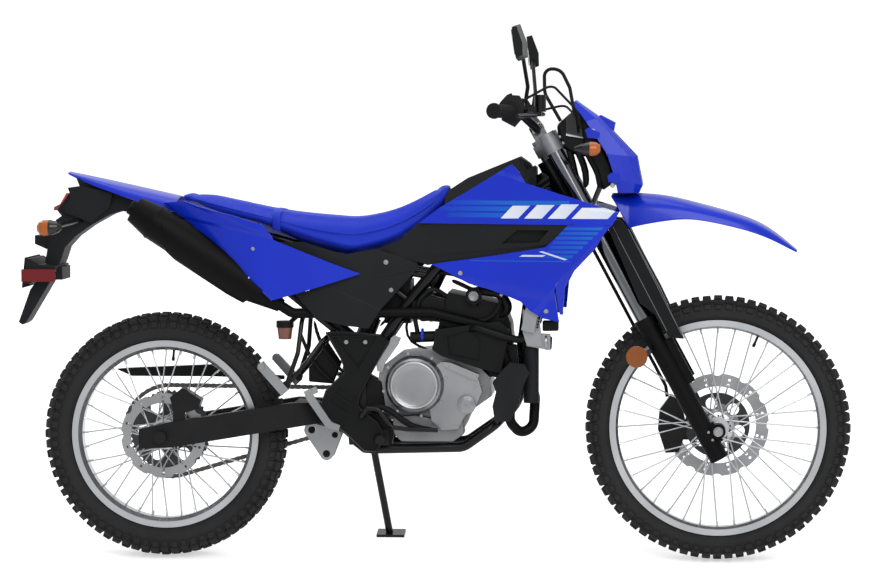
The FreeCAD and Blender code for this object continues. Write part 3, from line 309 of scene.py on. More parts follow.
@dataclass(frozen=True)
class Finish:
    """One surface finish, with its colour, gloss, grain, rub marks and road film."""

    name: str
    colour: Colour
    roughness: float = 0.4
    metallic: float = 0.0
    coat: float = 0.0
    grain: float = 700.0
    pebble: float = 0.0
    bump: float = 0.08
    mottle: float = 0.12
    rub: float = 0.25
    film: float = 0.12
    specular: float = 0.5

    def place(self, t: NodeTree) -> Socket:
        """Object coordinates turned back to the upright machine, in metres."""
        back = -(Matrix.Rotation(MACHINE.lean, 3, "X") @ STANDING.to_translation())
        spot = t.add("ShaderNodeTexCoord").outputs["Object"]
        return t.add("ShaderNodeMapping", {"Vector": spot, "Location": back,
                                           "Rotation": (MACHINE.lean, 0.0, 0.0)}).outputs[0]

    def paint(self, t: NodeTree, place: Socket, tone: Socket) -> Socket:
        """The colour before rub marks and film, varied by a slow tone from 0 to 1."""
        deep = tuple(c * (1.0 - self.mottle) for c in self.colour[:3]) + (1.0,)
        light = tuple(min(1.0, c * (1.0 + self.mottle)) for c in self.colour[:3]) + (1.0,)
        return t.blend(tone, deep, light)

    def height(self, t: NodeTree, place: Socket, grain: Socket) -> Socket:
        """The height that makes the bump, by default the grain alone."""
        return grain

    def metal(self, t: NodeTree, place: Socket) -> Any:
        """The metallic value, or a mask of it."""
        return self.metallic

    def build(self) -> bpy.types.Material:
        """Makes the material, or returns the one that was made before.

        Returns:
            The finished material.
        """
        ready = bpy.data.materials.get(self.name)
        if ready:
            return ready
        material = bpy.data.materials.new(self.name)
        material.use_nodes = True
        material.node_tree.nodes.clear()
        t = NodeTree(material.node_tree)
        place = self.place(t)
        grain = t.group(GROUPS.grain, place=place, scale=self.grain, pebble=self.pebble)
        rub = t.group(GROUPS.scuffs, place=place, amount=self.rub).outputs[0]
        film = t.group(GROUPS.dust, place=place, amount=self.film).outputs[0]
        colour = self.paint(t, place, grain.outputs["Tone"])
        pale = tuple(0.5 * c + 0.06 for c in self.colour[:3]) + (1.0,)
        colour = t.blend(rub, colour, pale)
        colour = t.blend(film, colour, srgb(150, 140, 126))
        rough = t.math("ADD", self.roughness, t.math("MULTIPLY", rub, 0.25))
        rough = t.math("ADD", rough, t.math("MULTIPLY", grain.outputs["Tone"], 0.06))
        rough = t.math("ADD", rough, t.math("MULTIPLY", film, 0.4), clamp=True)
        bump = t.add("ShaderNodeBump", {"Strength": self.bump, "Distance": 0.001,
                                        "Height": self.height(t, place, grain.outputs["Height"])})
        shader = t.add("ShaderNodeBsdfPrincipled", {
            "Base Color": colour, "Roughness": rough, "Metallic": self.metal(t, place),
            "Normal": bump.outputs[0], "Specular IOR Level": self.specular,
            "Coat Weight": self.coat, "Coat Roughness": 0.06})
        end = t.add("ShaderNodeOutputMaterial")
        t.put(end.inputs["Surface"], shader.outputs[0])
        material.diffuse_color = self.colour
        return material


@dataclass(frozen=True)
class RibbonFinish(Finish):
    """Gloss blue with the light ribbons and slanted blocks of the tank shrouds."""

    ribbon: Colour = srgb(6, 92, 186)
    pale: Colour = srgb(196, 206, 226)

    def paint(self, t: NodeTree, place: Socket, tone: Socket) -> Socket:
        """Blue, then ribbons, then white blocks; see Finish.paint."""
        colour = Finish.paint(self, t, place, tone)
        x = t.split(place)[0]

        def patch(back: float, front: float, low: float, high: float, slant: float,
                  rise: float = 0.0) -> Socket:
            """Mask of one slanted patch."""
            return t.group(GROUPS.band, place=place, back=back, front=front, low=low, high=high,
                           slant=slant, rise=rise).outputs[0]

        fade = t.spread(x, 0.70, 0.90)
        for sides in ((0.66, 1.050, 0.918, 0.929), (0.72, 0.935, 0.902, 0.914),
                      (0.74, 0.905, 0.886, 0.898)):
            colour = t.blend(t.math("MULTIPLY", patch(*sides, 0.4), fade), colour, self.ribbon)
        fade = t.spread(x, 0.985, 1.10, 0.25, 1.0)
        for row in range(7):
            low = 0.784 + 0.0118 * row
            mask = patch(0.985 + 0.008 * row, 1.060 + 0.0125 * row, low, low + 0.0078, 0.6)
            colour = t.blend(t.math("MULTIPLY", mask, fade), colour, self.ribbon)
        for back, front, high in ((0.878, 0.923, 0.9165), (0.938, 0.983, 0.9185),
                                  (0.998, 1.043, 0.9205), (1.058, 1.150, 0.9120)):
            white = t.blend(t.spread(x, back, front + 0.03), srgb(224, 226, 230), self.pale)
            colour = t.blend(patch(back, front, 0.8835, high, 0.95), colour, white)
        line = patch(0.80, 1.055, 0.7745, 0.7775, 0.0)
        colour = t.blend(t.math("MULTIPLY", line, 0.8), colour, self.ribbon)
        for mask in (patch(0.925, 0.985, 0.787, 0.792, 2.0),
                     patch(0.975, 1.040, 0.800, 0.805, 2.0, -0.32)):
            colour = t.blend(mask, colour, self.pale)
        return colour


@dataclass(frozen=True)
class LampFinish(Finish):
    """Clear lens whose colour carries a painted warm glint at the bulb and a painted reflection of
    the bright bowl behind it, set by the distance from its middle.
    """

    centre: tuple[float, float, float] = (1.222, 0.0, 1.024)
    axis: tuple[float, float, float] = (0.974, 0.0, -0.225)

    def paint(self, t: NodeTree, place: Socket, tone: Socket) -> Socket:
        """Painted bulb glint, a grey ring, painted bowl reflection and the black rim from the
        middle outwards; see Finish.paint.
        """
        offset = t.vector("SUBTRACT", place, self.centre).outputs[0]
        across = t.vector("CROSS_PRODUCT", offset, self.axis).outputs[0]
        away = t.vector("LENGTH", across).outputs["Value"]
        # painted light: the warm near-white disc is a painted glint at the bulb, and the pale ring
        # is a painted reflection of the chrome bowl
        colour = t.blend(t.spread(away, 0.010, 0.013), srgb(250, 236, 190), srgb(120, 126, 134))
        colour = t.blend(t.spread(away, 0.018, 0.03), colour, srgb(214, 220, 226))
        return t.blend(t.spread(away, 0.066, 0.068), colour, srgb(28, 28, 30))

    def height(self, t: NodeTree, place: Socket, grain: Socket) -> Socket:
        """Upright flutes over the lens; see Finish.height."""
        return t.group(GROUPS.ribs, place=place, direction=(0.0, 1.0, 0.0), pitch=0.009).outputs[0]


@dataclass(frozen=True)
class SplitFinish(Finish):
    """Two colours that meet at a plane across the machine, such as a lens on its housing."""

    second: Colour = srgb(20, 20, 22)
    normal: tuple[float, float, float] = (1.0, 0.0, 0.0)
    at: float = 0.0
    lower: Colour = srgb(20, 20, 22)
    lower_below: float = -1.0
    stem: float = -1.0

    def paint(self, t: NodeTree, place: Socket, tone: Socket) -> Socket:
        """The first colour ahead of the plane and the second behind it; see Finish.paint."""
        def past(value: Socket, edge: float) -> Socket:
            """Mask of what lies past an edge."""
            return t.spread(value, edge - 0.0008, edge + 0.0008)

        _, y, z = t.split(place)
        lens = past(t.vector("DOT_PRODUCT", place, self.normal).outputs["Value"], self.at)
        outside = past(t.math("ABSOLUTE", y), self.stem)
        high = past(z, self.lower_below)
        colour = t.blend(t.math("MINIMUM", lens, outside), self.second,
                         Finish.paint(self, t, place, tone))
        return t.blend(high, self.lower, colour)

    def height(self, t: NodeTree, place: Socket, grain: Socket) -> Socket:
        """Fine prisms in the lens; see Finish.height."""
        return t.group(GROUPS.ribs, place=place, direction=(0.0, 0.0, 1.0), pitch=0.005).outputs[0]


@dataclass(frozen=True)
class WheelFinish(Finish):
    """Bright brake ring on a black carrier, by the distance from the axle."""

    hub: tuple[float, float] = (0.0, 0.0)
    hub_radius: float = 0.0905
    inner_radius: float = 0.056

    def bare(self, t: NodeTree, place: Socket) -> Socket:
        """Mask of the bare metal, outside and inside the black carrier."""
        x, _, z = t.split(place)
        dx, dz = t.math("SUBTRACT", x, self.hub[0]), t.math("SUBTRACT", z, self.hub[1])
        away = t.math("SQRT", t.math("ADD", t.math("MULTIPLY", dx, dx), t.math("MULTIPLY", dz, dz)))
        outer = t.spread(away, self.hub_radius, self.hub_radius + 0.0006)
        inner = t.spread(away, self.inner_radius, self.inner_radius + 0.0006, 1.0, 0.0)
        return t.math("MAXIMUM", outer, inner)

    def paint(self, t: NodeTree, place: Socket, tone: Socket) -> Socket:
        """Black on the carrier, bright metal elsewhere; see Finish.paint."""
        return t.blend(self.bare(t, place), srgb(10, 10, 11), Finish.paint(self, t, place, tone))

    def metal(self, t: NodeTree, place: Socket) -> Any:
        """Metal off the carrier only; see Finish.metal."""
        return self.bare(t, place)


class Finishes:
    """Every finish of the machine."""

    blue = Finish("gloss_blue_panel", srgb(5, 40, 184), 0.27, coat=0.12, grain=260.0, bump=0.02,
                  mottle=0.05, rub=0.02, film=0.01, specular=0.22)
    ribbon = RibbonFinish(**{**vars(blue), "name": "blue_panel_with_ribbons"})
    black = Finish("textured_black_plastic", srgb(24, 25, 27), 0.55, grain=950.0, pebble=0.7,
                   bump=0.22, mottle=0.2, rub=0.08, film=0.02, specular=0.12)
    satin_black = Finish("satin_black_plastic", srgb(9, 10, 11), 0.40, grain=800.0, pebble=0.5,
                         bump=0.12, mottle=0.2, rub=0.06, film=0.01, specular=0.12)
    frame_black = Finish("gloss_black_paint", srgb(8, 8, 10), 0.25, coat=0.05, grain=300.0,
                         bump=0.05, mottle=0.2, rub=0.06, film=0.015, specular=0.18)
    swingarm = Finish("black_coated_alloy", srgb(20, 20, 22), 0.42, grain=500.0,
                      bump=0.08, rub=0.12, film=0.02, specular=0.14)
    heat_black = Finish("heatproof_black", srgb(5, 5, 6), 0.45, grain=1200.0,
                        bump=0.16, mottle=0.25, rub=0.05, film=0.006, specular=0.08)
    bright = Finish("polished_alloy", srgb(168, 170, 172), 0.24, metallic=1.0, grain=420.0,
                    bump=0.05, mottle=0.06, rub=0.3, film=0.03)
    satin = Finish("satin_alloy", srgb(132, 134, 136), 0.38, metallic=1.0, grain=900.0, bump=0.12,
                   mottle=0.14, rub=0.35, film=0.04)
    cast = Finish("cast_alloy", srgb(112, 113, 115), 0.42, metallic=0.92, grain=1300.0, bump=0.3,
                  mottle=0.2, rub=0.35, film=0.05)
    cover = Finish("machined_cover", srgb(134, 135, 137), 0.30, metallic=1.0, grain=1100.0,
                   bump=0.1, mottle=0.14, rub=0.3, film=0.03)
    steel = Finish("ground_steel", srgb(140, 141, 143), 0.32, metallic=1.0, grain=1500.0, bump=0.1,
                   mottle=0.14, rub=0.5, film=0.03)
    chrome = Finish("hard_chrome", srgb(92, 94, 98), 0.10, metallic=1.0, grain=200.0, bump=0.01,
                    mottle=0.05, rub=0.1, film=0.01)
    zinc = Finish("zinc_plated_screw", srgb(146, 146, 145), 0.32, metallic=1.0, grain=1600.0,
                  bump=0.1, rub=0.3, film=0.03)
    chain = Finish("oiled_chain", srgb(84, 82, 80), 0.36, metallic=0.9, grain=900.0, bump=0.12,
                   mottle=0.3, rub=0.3, film=0.1)
    tyre = Finish("tyre_rubber", srgb(33, 33, 34), 0.7, grain=620.0, bump=0.25, mottle=0.18,
                  rub=0.14, film=0.02, specular=0.2)
    rubber = Finish("soft_black_rubber", srgb(14, 14, 15), 0.6, grain=1200.0, pebble=0.4, bump=0.2,
                    mottle=0.18, rub=0.08, film=0.015, specular=0.14)
    seat = Finish("blue_grained_seat_cover", srgb(18, 46, 180), 0.5, grain=620.0, pebble=1.0,
                  bump=0.3, mottle=0.08, rub=0.05, film=0.01, specular=0.16)
    amber = Finish("amber_reflector", srgb(128, 66, 4), 0.16, coat=0.3, grain=300.0, bump=0.25,
                   mottle=0.1, rub=0.05, film=0.02, specular=0.3)
    front_signal = SplitFinish("front_signal_lens_on_housing", srgb(168, 88, 22), 0.2, coat=0.3,
                               bump=0.12, rub=0.05, film=0.02, at=1.1035, specular=0.2,
                               lower_below=0.9, stem=0.158)
    rear_signal = replace(front_signal, name="rear_signal_lens_on_housing", at=0.2745, stem=-1.0,
                          normal=(-1.0, 0.0, 0.0), lower=srgb(104, 0, 5), lower_below=0.79)
    red = SplitFinish("tail_lamp_lens", srgb(188, 14, 20), 0.15, coat=0.5, bump=0.25, rub=0.04,
                      film=0.01, second=srgb(110, 8, 12), normal=(0.0, 0.0, 1.0), at=0.918)
    lamp = LampFinish("headlamp_lens", srgb(220, 224, 228), 0.08, coat=0.4, bump=0.2,
                      rub=0.02, film=0.01, specular=0.2)
    mirror = Finish("mirror_glass", srgb(206, 212, 216), 0.03, metallic=1.0, grain=60.0, bump=0.0,
                    mottle=0.02, rub=0.02, film=0.01)
    cup = Finish("smoked_fluid_cup", srgb(112, 66, 52), 0.2, coat=0.3, grain=300.0, bump=0.04,
                 film=0.02, specular=0.3)
    hub = Finish("rim_and_hub", srgb(168, 170, 172), 0.26, metallic=1.0, grain=900.0, bump=0.08,
                 mottle=0.1, rub=0.3, film=0.03)
    front_disc = WheelFinish("front_disc_on_black_carrier", srgb(140, 141, 143), 0.32, metallic=1.0,
                             grain=1500.0, bump=0.1, rub=0.4, film=0.03, hub=(1.43, 0.341))
    sprocket = Finish("dark_sprocket", srgb(70, 71, 73), 0.4, metallic=0.9, grain=1200.0, bump=0.1,
                      mottle=0.2, rub=0.4, film=0.05)


def axes(start: Point, end: Point) -> tuple[Vector, Vector, Vector, Vector]:
    """The start of a line, its direction and two directions across it."""
    origin = Vector(start)
    ahead = (Vector(end) - origin).normalized()
    side = ahead.orthogonal().normalized()
    return origin, ahead, side, ahead.cross(side)


class Shape:
    """Gathers faces in millimetres on the upright machine and hands them over as a piece."""

    def __init__(self) -> None:
        """Starts empty."""
        self.bm = bmesh.new()

    def loft(self, rings: Sequence[Sequence[Point]], closed: bool = True, ends: bool = True,
             turn: bool = False) -> None:
        """Skin through rings of equal length.

        Args:
            rings: The rings of points, in order.
            closed: The last point of a ring joins its first.
            ends: The first and last ring are filled.
            turn: The last ring joins the first.
        """
        rows = [[self.bm.verts.new(p) for p in ring] for ring in rings]
        count = len(rows[0])
        pairs = list(zip(rows, rows[1:])) + ([(rows[-1], rows[0])] if turn else [])
        for a, b in pairs:
            for i in range(count if closed else count - 1):
                j = (i + 1) % count
                self.bm.faces.new((a[i], a[j], b[j], b[i]))
        if ends and not turn:
            self.bm.faces.new(rows[0][::-1])
            self.bm.faces.new(rows[-1])

    def prism(self, outline: Outline, y0: float, y1: float) -> None:
        """Plate with a side outline between two crosswise planes."""
        self.loft([[(x, y0, z) for x, z in outline], [(x, y1, z) for x, z in outline]])

    def lathe(self, profile: Outline, start: Point, end: Point, steps: int = 48) -> None:
        """Solid turned about the line from start towards end.

        Args:
            profile: Closed outline of (distance along, radius).
            start: The point at distance 0.
            end: A point that gives the direction.
            steps: The number of facets round.
        """
        a, axis, side, up = axes(start, end)
        rings = []
        for k in range(steps):
            angle = 2 * math.pi * k / steps
            out = side * math.cos(angle) + up * math.sin(angle)
            rings.append([a + axis * t + out * max(r, 0.0) for t, r in profile])
        self.loft(rings, turn=True)

    def pipe(self, points: Sequence[Point], radius: float, sides: int = 12) -> None:
        """Round pipe through points, with closed ends.

        Args:
            points: The middle line.
            radius: The outside radius.
            sides: The number of facets round.
        """
        line = [Vector(p) for p in points]
        across = (line[1] - line[0]).orthogonal().normalized()
        rings = []
        for i, p in enumerate(line):
            ahead = (line[min(i + 1, len(line) - 1)] - line[max(i - 1, 0)]).normalized()
            across = (across - ahead * across.dot(ahead)).normalized()
            up = ahead.cross(across)
            rings.append([p + (across * math.cos(a) + up * math.sin(a)) * radius
                          for a in (2 * math.pi * k / sides for k in range(sides))])
        self.loft(rings)

    def box(self, low: Point, high: Point) -> None:
        """Plain block between two corners."""
        self.prism([(low[0], low[2]), (high[0], low[2]), (high[0], high[2]), (low[0], high[2])],
                   low[1], high[1])

    def mesh(self, name: str, weld: float = 0.01) -> Mesh:
        """The gathered faces as an upright mesh in millimetres, with points near by merged."""
        bmesh.ops.remove_doubles(self.bm, verts=self.bm.verts, dist=weld)
        bmesh.ops.recalc_face_normals(self.bm, faces=self.bm.faces)
        mesh = bpy.data.meshes.new(name)
        self.bm.to_mesh(mesh)
        self.bm.free()
        return mesh

    def place(self, name: str, finish: Finish, body: Body = Body.CHASSIS, smooth: float = 35.0,
              replaces: Sequence[str] = ()) -> Piece:
        """Makes the gathered faces a piece of a body; see placed."""
        return placed(self.mesh(name), finish, body, smooth, replaces)


def turned(name: str, finish: Finish, solids: Sequence[tuple[Outline, Point, Point | None, int]],
           body: Body = Body.CHASSIS, smooth: float = 35.0) -> None:
    """Places one piece of solids that are turned about lines; see Shape.lathe.

    Args:
        name: Name of the piece.
        finish: Its finish.
        solids: Profile, start, end and facets of each, with no end where it leads outward.
        body: The body that it rides on.
        smooth: Edges sharper than this many degrees stay sharp.
    """
    shape = Shape()
    for profile, start, end, steps in solids:
        x, y, z = start
        shape.lathe(profile, start, end or (x, y + math.copysign(1, y), z), steps)
    shape.place(name, finish, body, smooth)


def linked(name: str, data: Any) -> Piece:
    """A new object, linked to the scene."""
    made = bpy.data.objects.new(name, data)
    bpy.context.scene.collection.objects.link(made)
    return made


def placed(mesh: Mesh, finish: Finish, body: Body = Body.CHASSIS, smooth: float = 35.0,
           replaces: Sequence[str] = ()) -> Piece:
    """Leans a mesh into the frame and makes it a piece of a body.

    Args:
        mesh: The upright mesh in millimetres.
        finish: Its finish.
        body: The body that it rides on.
        smooth: Edges sharper than this many degrees stay sharp.
        replaces: The frame's nodes that it stands for.

    Returns:
        The piece.
    """
    name = mesh.name.split(".")[0]
    for spare in [m for m in bpy.data.meshes if m != mesh and m.users == 0]:
        bpy.data.meshes.remove(spare)
    mesh.name = name
    mesh.transform(STANDING)
    mesh.materials.clear()
    mesh.materials.append(finish.build())
    piece = linked(name, mesh)
    mesh.shade_smooth()
    mesh.set_sharp_from_angle(angle=math.radians(smooth))
    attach(piece, body.value)
    if replaces:
        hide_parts(*replaces)
    LOG.info("%s on %s: %d faces", piece.name, body.value, len(mesh.polygons))
    return piece


def subdivided(piece: Piece, levels: int = 1) -> None:
    """Adds a subdivision."""
    smooth = piece.modifiers.new("subdivision", "SUBSURF")
    smooth.levels = smooth.render_levels = levels


def walled(piece: Piece, thickness: float, offset: float = -1.0) -> None:
    """Gives a sheet a wall of some millimetres, inward unless offset says otherwise."""
    wall = piece.modifiers.new("wall", "SOLIDIFY")
    wall.thickness = thickness * 0.001
    wall.offset = offset


def around(items: Sequence[Any]) -> Iterable[tuple[Any, Any]]:
    """Each item with the next, and the last with the first."""
    return zip(items, [*items[1:], *items[:1]])


def arch(x: float, side: Outline, top: float) -> list[Point]:
    """Cross-section at x: the points (y, z) up the right side, the top, and down the left."""
    return ([(x, -y, z) for y, z in side] + [(x, 0, top)] + [(x, y, z) for y, z in side[::-1]])


def rounded(piece: Piece, width: float, segments: int = 2, angle: float = 34.0) -> None:
    """Rounds the edges.

    Args:
        piece: The piece to finish.
        width: Width of the rounding in millimetres.
        segments: Steps across the rounding.
        angle: Edges sharper than this many degrees are rounded.
    """
    bevel = piece.modifiers.new("rounded_edges", "BEVEL")
    bevel.width = width * 0.001
    bevel.segments = segments
    bevel.limit_method = "ANGLE"
    bevel.angle_limit = math.radians(angle)


class Repeats:
    """Geometry node trees that repeat one small shape round a ring or at points."""

    def __init__(self) -> None:
        """Builds both trees."""
        self.ring = self._ring()
        self.points = self._points()

    @staticmethod
    def _start(name: str, inputs: Sequence[tuple[str, str, Any]]) -> tuple[NodeTree, Any, Any]:
        """Makes an empty geometry tree that takes a shape, a finish and more; see start_tree."""
        always = [("Geometry", "Geometry", None), ("Shape", "Object", None),
                  ("Finish", "Material", None)]
        return start_tree("Geometry", name, always + list(inputs), [("Geometry", "Geometry")])

    @staticmethod
    def _close(t: NodeTree, given: Any, out: Any, points: Socket, turn: Socket,
               size: Socket) -> Tree:
        """Puts the turned and sized shape at the points as real geometry with its finish."""
        shape = t.add("GeometryNodeObjectInfo", {0: given["Shape"]})
        copies = t.add("GeometryNodeInstanceOnPoints", {
            "Points": points, "Instance": shape.outputs["Geometry"], "Rotation": turn,
            "Scale": size})
        real = t.add("GeometryNodeRealizeInstances", {0: copies.outputs[0]})
        dressed = t.add("GeometryNodeSetMaterial", {"Geometry": real.outputs[0],
                                                    "Material": given["Finish"]})
        t.put(out[0], dressed.outputs[0])
        return t.tree

    def _ring(self) -> Tree:
        """Copies of a shape round a crosswise axis, each with a small random size."""
        t, given, out = self._start("repeat_round_axis", [
            ("Count", "Int", 12), ("Radius", "Float", 100.0), ("Offset", "Float", 0.0),
            ("Phase", "Float", 0.0), ("Centre", "Vector", None), ("Vary", "Float", 0.0),
            ("Seed", "Int", 4)])
        step = t.math("DIVIDE", 2 * math.pi, given["Count"])
        index = t.add("GeometryNodeInputIndex").outputs[0]
        angle = t.math("MULTIPLY", t.math("ADD", index, given["Phase"]), step)
        spot = t.add("ShaderNodeCombineXYZ", {
            0: t.math("MULTIPLY", t.math("SINE", angle), given["Radius"]), 1: given["Offset"],
            2: t.math("MULTIPLY", t.math("COSINE", angle), given["Radius"])})
        moved = t.vector("ADD", spot.outputs[0], given["Centre"])
        points = t.add("GeometryNodePoints", {"Count": given["Count"],
                                              "Position": moved.outputs[0]})
        turn = t.add("ShaderNodeCombineXYZ", {1: angle})
        low, high = t.math("SUBTRACT", 1.0, given["Vary"]), t.math("ADD", 1.0, given["Vary"])
        size = t.add("FunctionNodeRandomValue", {2: low, 3: high, 8: given["Seed"]},
                     data_type="FLOAT")
        return self._close(t, given, out, points.outputs[0], turn.outputs[0], size.outputs[1])

    def _points(self) -> Tree:
        """Copies of a shape at the points of a mesh, as their turn and size attributes say."""
        t, given, out = self._start("repeat_at_points", [])
        turn, size = (t.add("GeometryNodeInputNamedAttribute", {"Name": name},
                            data_type="FLOAT_VECTOR").outputs[0] for name in ("turn", "size"))
        return self._close(t, given, out, given["Geometry"], turn, size)

    @staticmethod
    def run(tree: Tree, name: str, base: Mesh, shape: Mesh, finish: Finish,
            inputs: dict[str, Any]) -> Mesh:
        """Runs a tree on a mesh and keeps the plain result.

        Args:
            tree: The tree to run.
            name: The name of the result.
            base: The mesh that the tree starts from.
            shape: The shape that is repeated.
            finish: The finish of the copies.
            inputs: Values of the tree's other inputs.

        Returns:
            The resulting mesh.
        """
        source = bpy.data.objects.new(name + "_shape", shape)
        holder = linked(name + "_holder", base)
        modifier = holder.modifiers.new("repeat", "NODES")
        modifier.node_group = tree
        ids = {s.name: s.identifier for s in tree.interface.items_tree
               if s.item_type == "SOCKET" and s.in_out == "INPUT"}
        for label, value in {"Shape": source, "Finish": finish.build(), **inputs}.items():
            modifier[ids[label]] = value
        bpy.context.view_layer.update()
        graph = bpy.context.evaluated_depsgraph_get()
        result = bpy.data.meshes.new_from_object(holder.evaluated_get(graph))
        result.name = name
        for spare in ("turn", "size"):
            layer = result.attributes.get(spare)
            if layer:
                result.attributes.remove(layer)
        for done in (holder, source):
            bpy.data.objects.remove(done)
        return result

    def round_axis(self, name: str, shape: Mesh, centre: Point, count: int, radius: float,
                   offset: float, phase: float, finish: Finish, vary: float = 0.0) -> Mesh:
        """Repeats a shape round a wheel's axis.

        Args:
            name: Name of the result.
            shape: The shape at the top of the ring, with Z outward.
            centre: The axis point.
            count: Number of copies.
            radius: Radius of the ring.
            offset: Distance to the rider's left.
            phase: Share of a step by which the ring is turned.
            finish: The finish of the copies.
            vary: Largest random change of size.

        Returns:
            The upright mesh.
        """
        return self.run(self.ring, name, bpy.data.meshes.new(name + "_base"), shape, finish, {
            "Count": count, "Radius": radius, "Offset": offset, "Phase": phase,
            "Centre": tuple(centre), "Vary": vary, "Seed": 7})

    def at_points(self, name: str, shape: Mesh, spots: Sequence[Spot], finish: Finish) -> Mesh:
        """Repeats a shape, with Z outward, at spots of position, rotation and size.

        Args:
            name: Name of the result.
            shape: The shape.
            spots: Position, rotation and size of each copy.
            finish: The finish of the copies.

        Returns:
            The upright mesh.
        """
        base = bpy.data.meshes.new(name + "_base")
        base.from_pydata([tuple(p) for p, _, _ in spots], [], [])
        for label, pick in (("turn", 1), ("size", 2)):
            layer = base.attributes.new(label, "FLOAT_VECTOR", "POINT")
            for i, spot in enumerate(spots):
                layer.data[i].vector = tuple(spot[pick])
        return self.run(self.points, name, base, shape, finish, {})


REPEATS = Repeats()


def facing(direction: Point, spin: float = 0.0) -> Euler:
    """Rotation that turns Z to a direction, after a spin about Z."""
    quat = Vector(direction).to_track_quat("Z", "Y")
    return (quat @ Euler((0.0, 0.0, spin)).to_quaternion()).to_euler()


def joined(meshes: Iterable[Mesh], name: str) -> Mesh:
    """One mesh from several."""
    bm = bmesh.new()
    for mesh in meshes:
        bm.from_mesh(mesh)
    out = bpy.data.meshes.new(name)
    bm.to_mesh(out)
    bm.free()
    return out


@dataclass
class Tyre:
    """Knobby tyre: a turned carcass with rows of lugs repeated round it."""

    name: str
    body: Body
    centre: tuple[float, float, float]
    radius: float
    rim_outer: float
    rim_seat: float
    rim_half: float
    half: float
    pitches: int = 36
    lug_height: float = 11.5

    def carcass(self) -> Mesh:
        """The tyre without its lugs.

        Returns:
            The upright mesh.
        """
        crown = self.radius - self.lug_height
        wall = crown - self.rim_outer
        neck = self.rim_half - 5.5
        right = [(neck, self.rim_seat + 0.6), (neck, self.rim_outer + 1.6),
                 (self.half - 9, self.rim_outer + 3.2), (self.half - 4.6, self.rim_outer + 7.0),
                 (self.half - 3.4, self.rim_outer + 8.0),
                 (self.half - 1.2, self.rim_outer + 0.2 * wall),
                 (self.half - 0.2, self.rim_outer + 0.36 * wall),
                 (self.half - 0.2, self.rim_outer + 0.46 * wall),
                 (self.half - 1.6, self.rim_outer + 0.6 * wall),
                 (self.half - 3.6, crown - 0.24 * wall), (self.half * 0.8, crown - 0.1 * wall),
                 (self.half * 0.55, crown - 0.02 * wall), (self.half * 0.25, crown - 0.3)]
        profile = right + [(-y, r) for y, r in right[::-1]]
        shape = Shape()
        x, _, z = self.centre
        shape.lathe(profile, (x, 0, z), (x, 1, z), 128)
        return shape.mesh(self.name + "_carcass")

    def lug(self, length: float, width: float, height: float, lean: float) -> Mesh:
        """One tapered lug with its foot at the origin and Z outward.

        Args:
            length: Size round the tyre.
            width: Size across the tyre.
            height: Size outward.
            lean: Angle in degrees by which the lug leans to the side.

        Returns:
            The mesh.
        """
        shape = Shape()
        rings = []
        for level, k in ((-3.0, 1.08), (height * 0.8, 0.98), (height - 0.9, 0.95), (height, 0.88)):
            rings.append([(sx * length * k / 2, sy * width * k / 2, level)
                          for sx, sy in ((-1, -1), (1, -1), (1, 1), (-1, 1))])
        shape.loft(rings)
        mesh = shape.mesh("lug")
        mesh.transform(Matrix.Rotation(math.radians(lean), 4, "X"))
        return mesh

    def build(self) -> None:
        """Builds and places the tyre."""
        crown = self.radius - self.lug_height
        wall = crown - self.rim_outer
        meshes = [self.carcass()]
        turn = 2 * math.pi * self.radius / self.pitches
        rows = ((0.0, 0.0, 0.30, 0.35, crown - 0.6, 11.7, 0.0),
                (0.5, 0.34, 0.30, 0.34, crown - 1.8, 11.5, 8.0),
                (0.0, 0.60, 0.28, 0.35, crown - 3.8, 12.0, 20.0),
                (0.5, 0.80, 0.28, 0.36, crown - 0.13 * wall, 12.8, 36.0),
                (0.0, 0.86, 0.24, 0.36, crown - 0.18 * wall, 11.4, 46.0),
                (0.5, 0.94, 0.34, 0.30, crown - 0.32 * wall, 5.6, 76.0),
                (0.0, 0.94, 0.30, 0.26, crown - 0.34 * wall, 5.4, 77.0))
        for row, (phase, across, width, length, level, height, lean) in enumerate(rows):
            for hand in ((1,) if across == 0 else (-1, 1)):
                lug = self.lug(turn * length, self.half * width, height, -hand * lean)
                meshes.append(REPEATS.round_axis(
                    f"{self.name}_row_{row}", lug, self.centre, self.pitches, level,
                    hand * self.half * across, phase, Finishes.tyre, 0.015))
        placed(joined(meshes, self.name + "_rubber"), Finishes.tyre, self.body, 30.0, (self.name,))


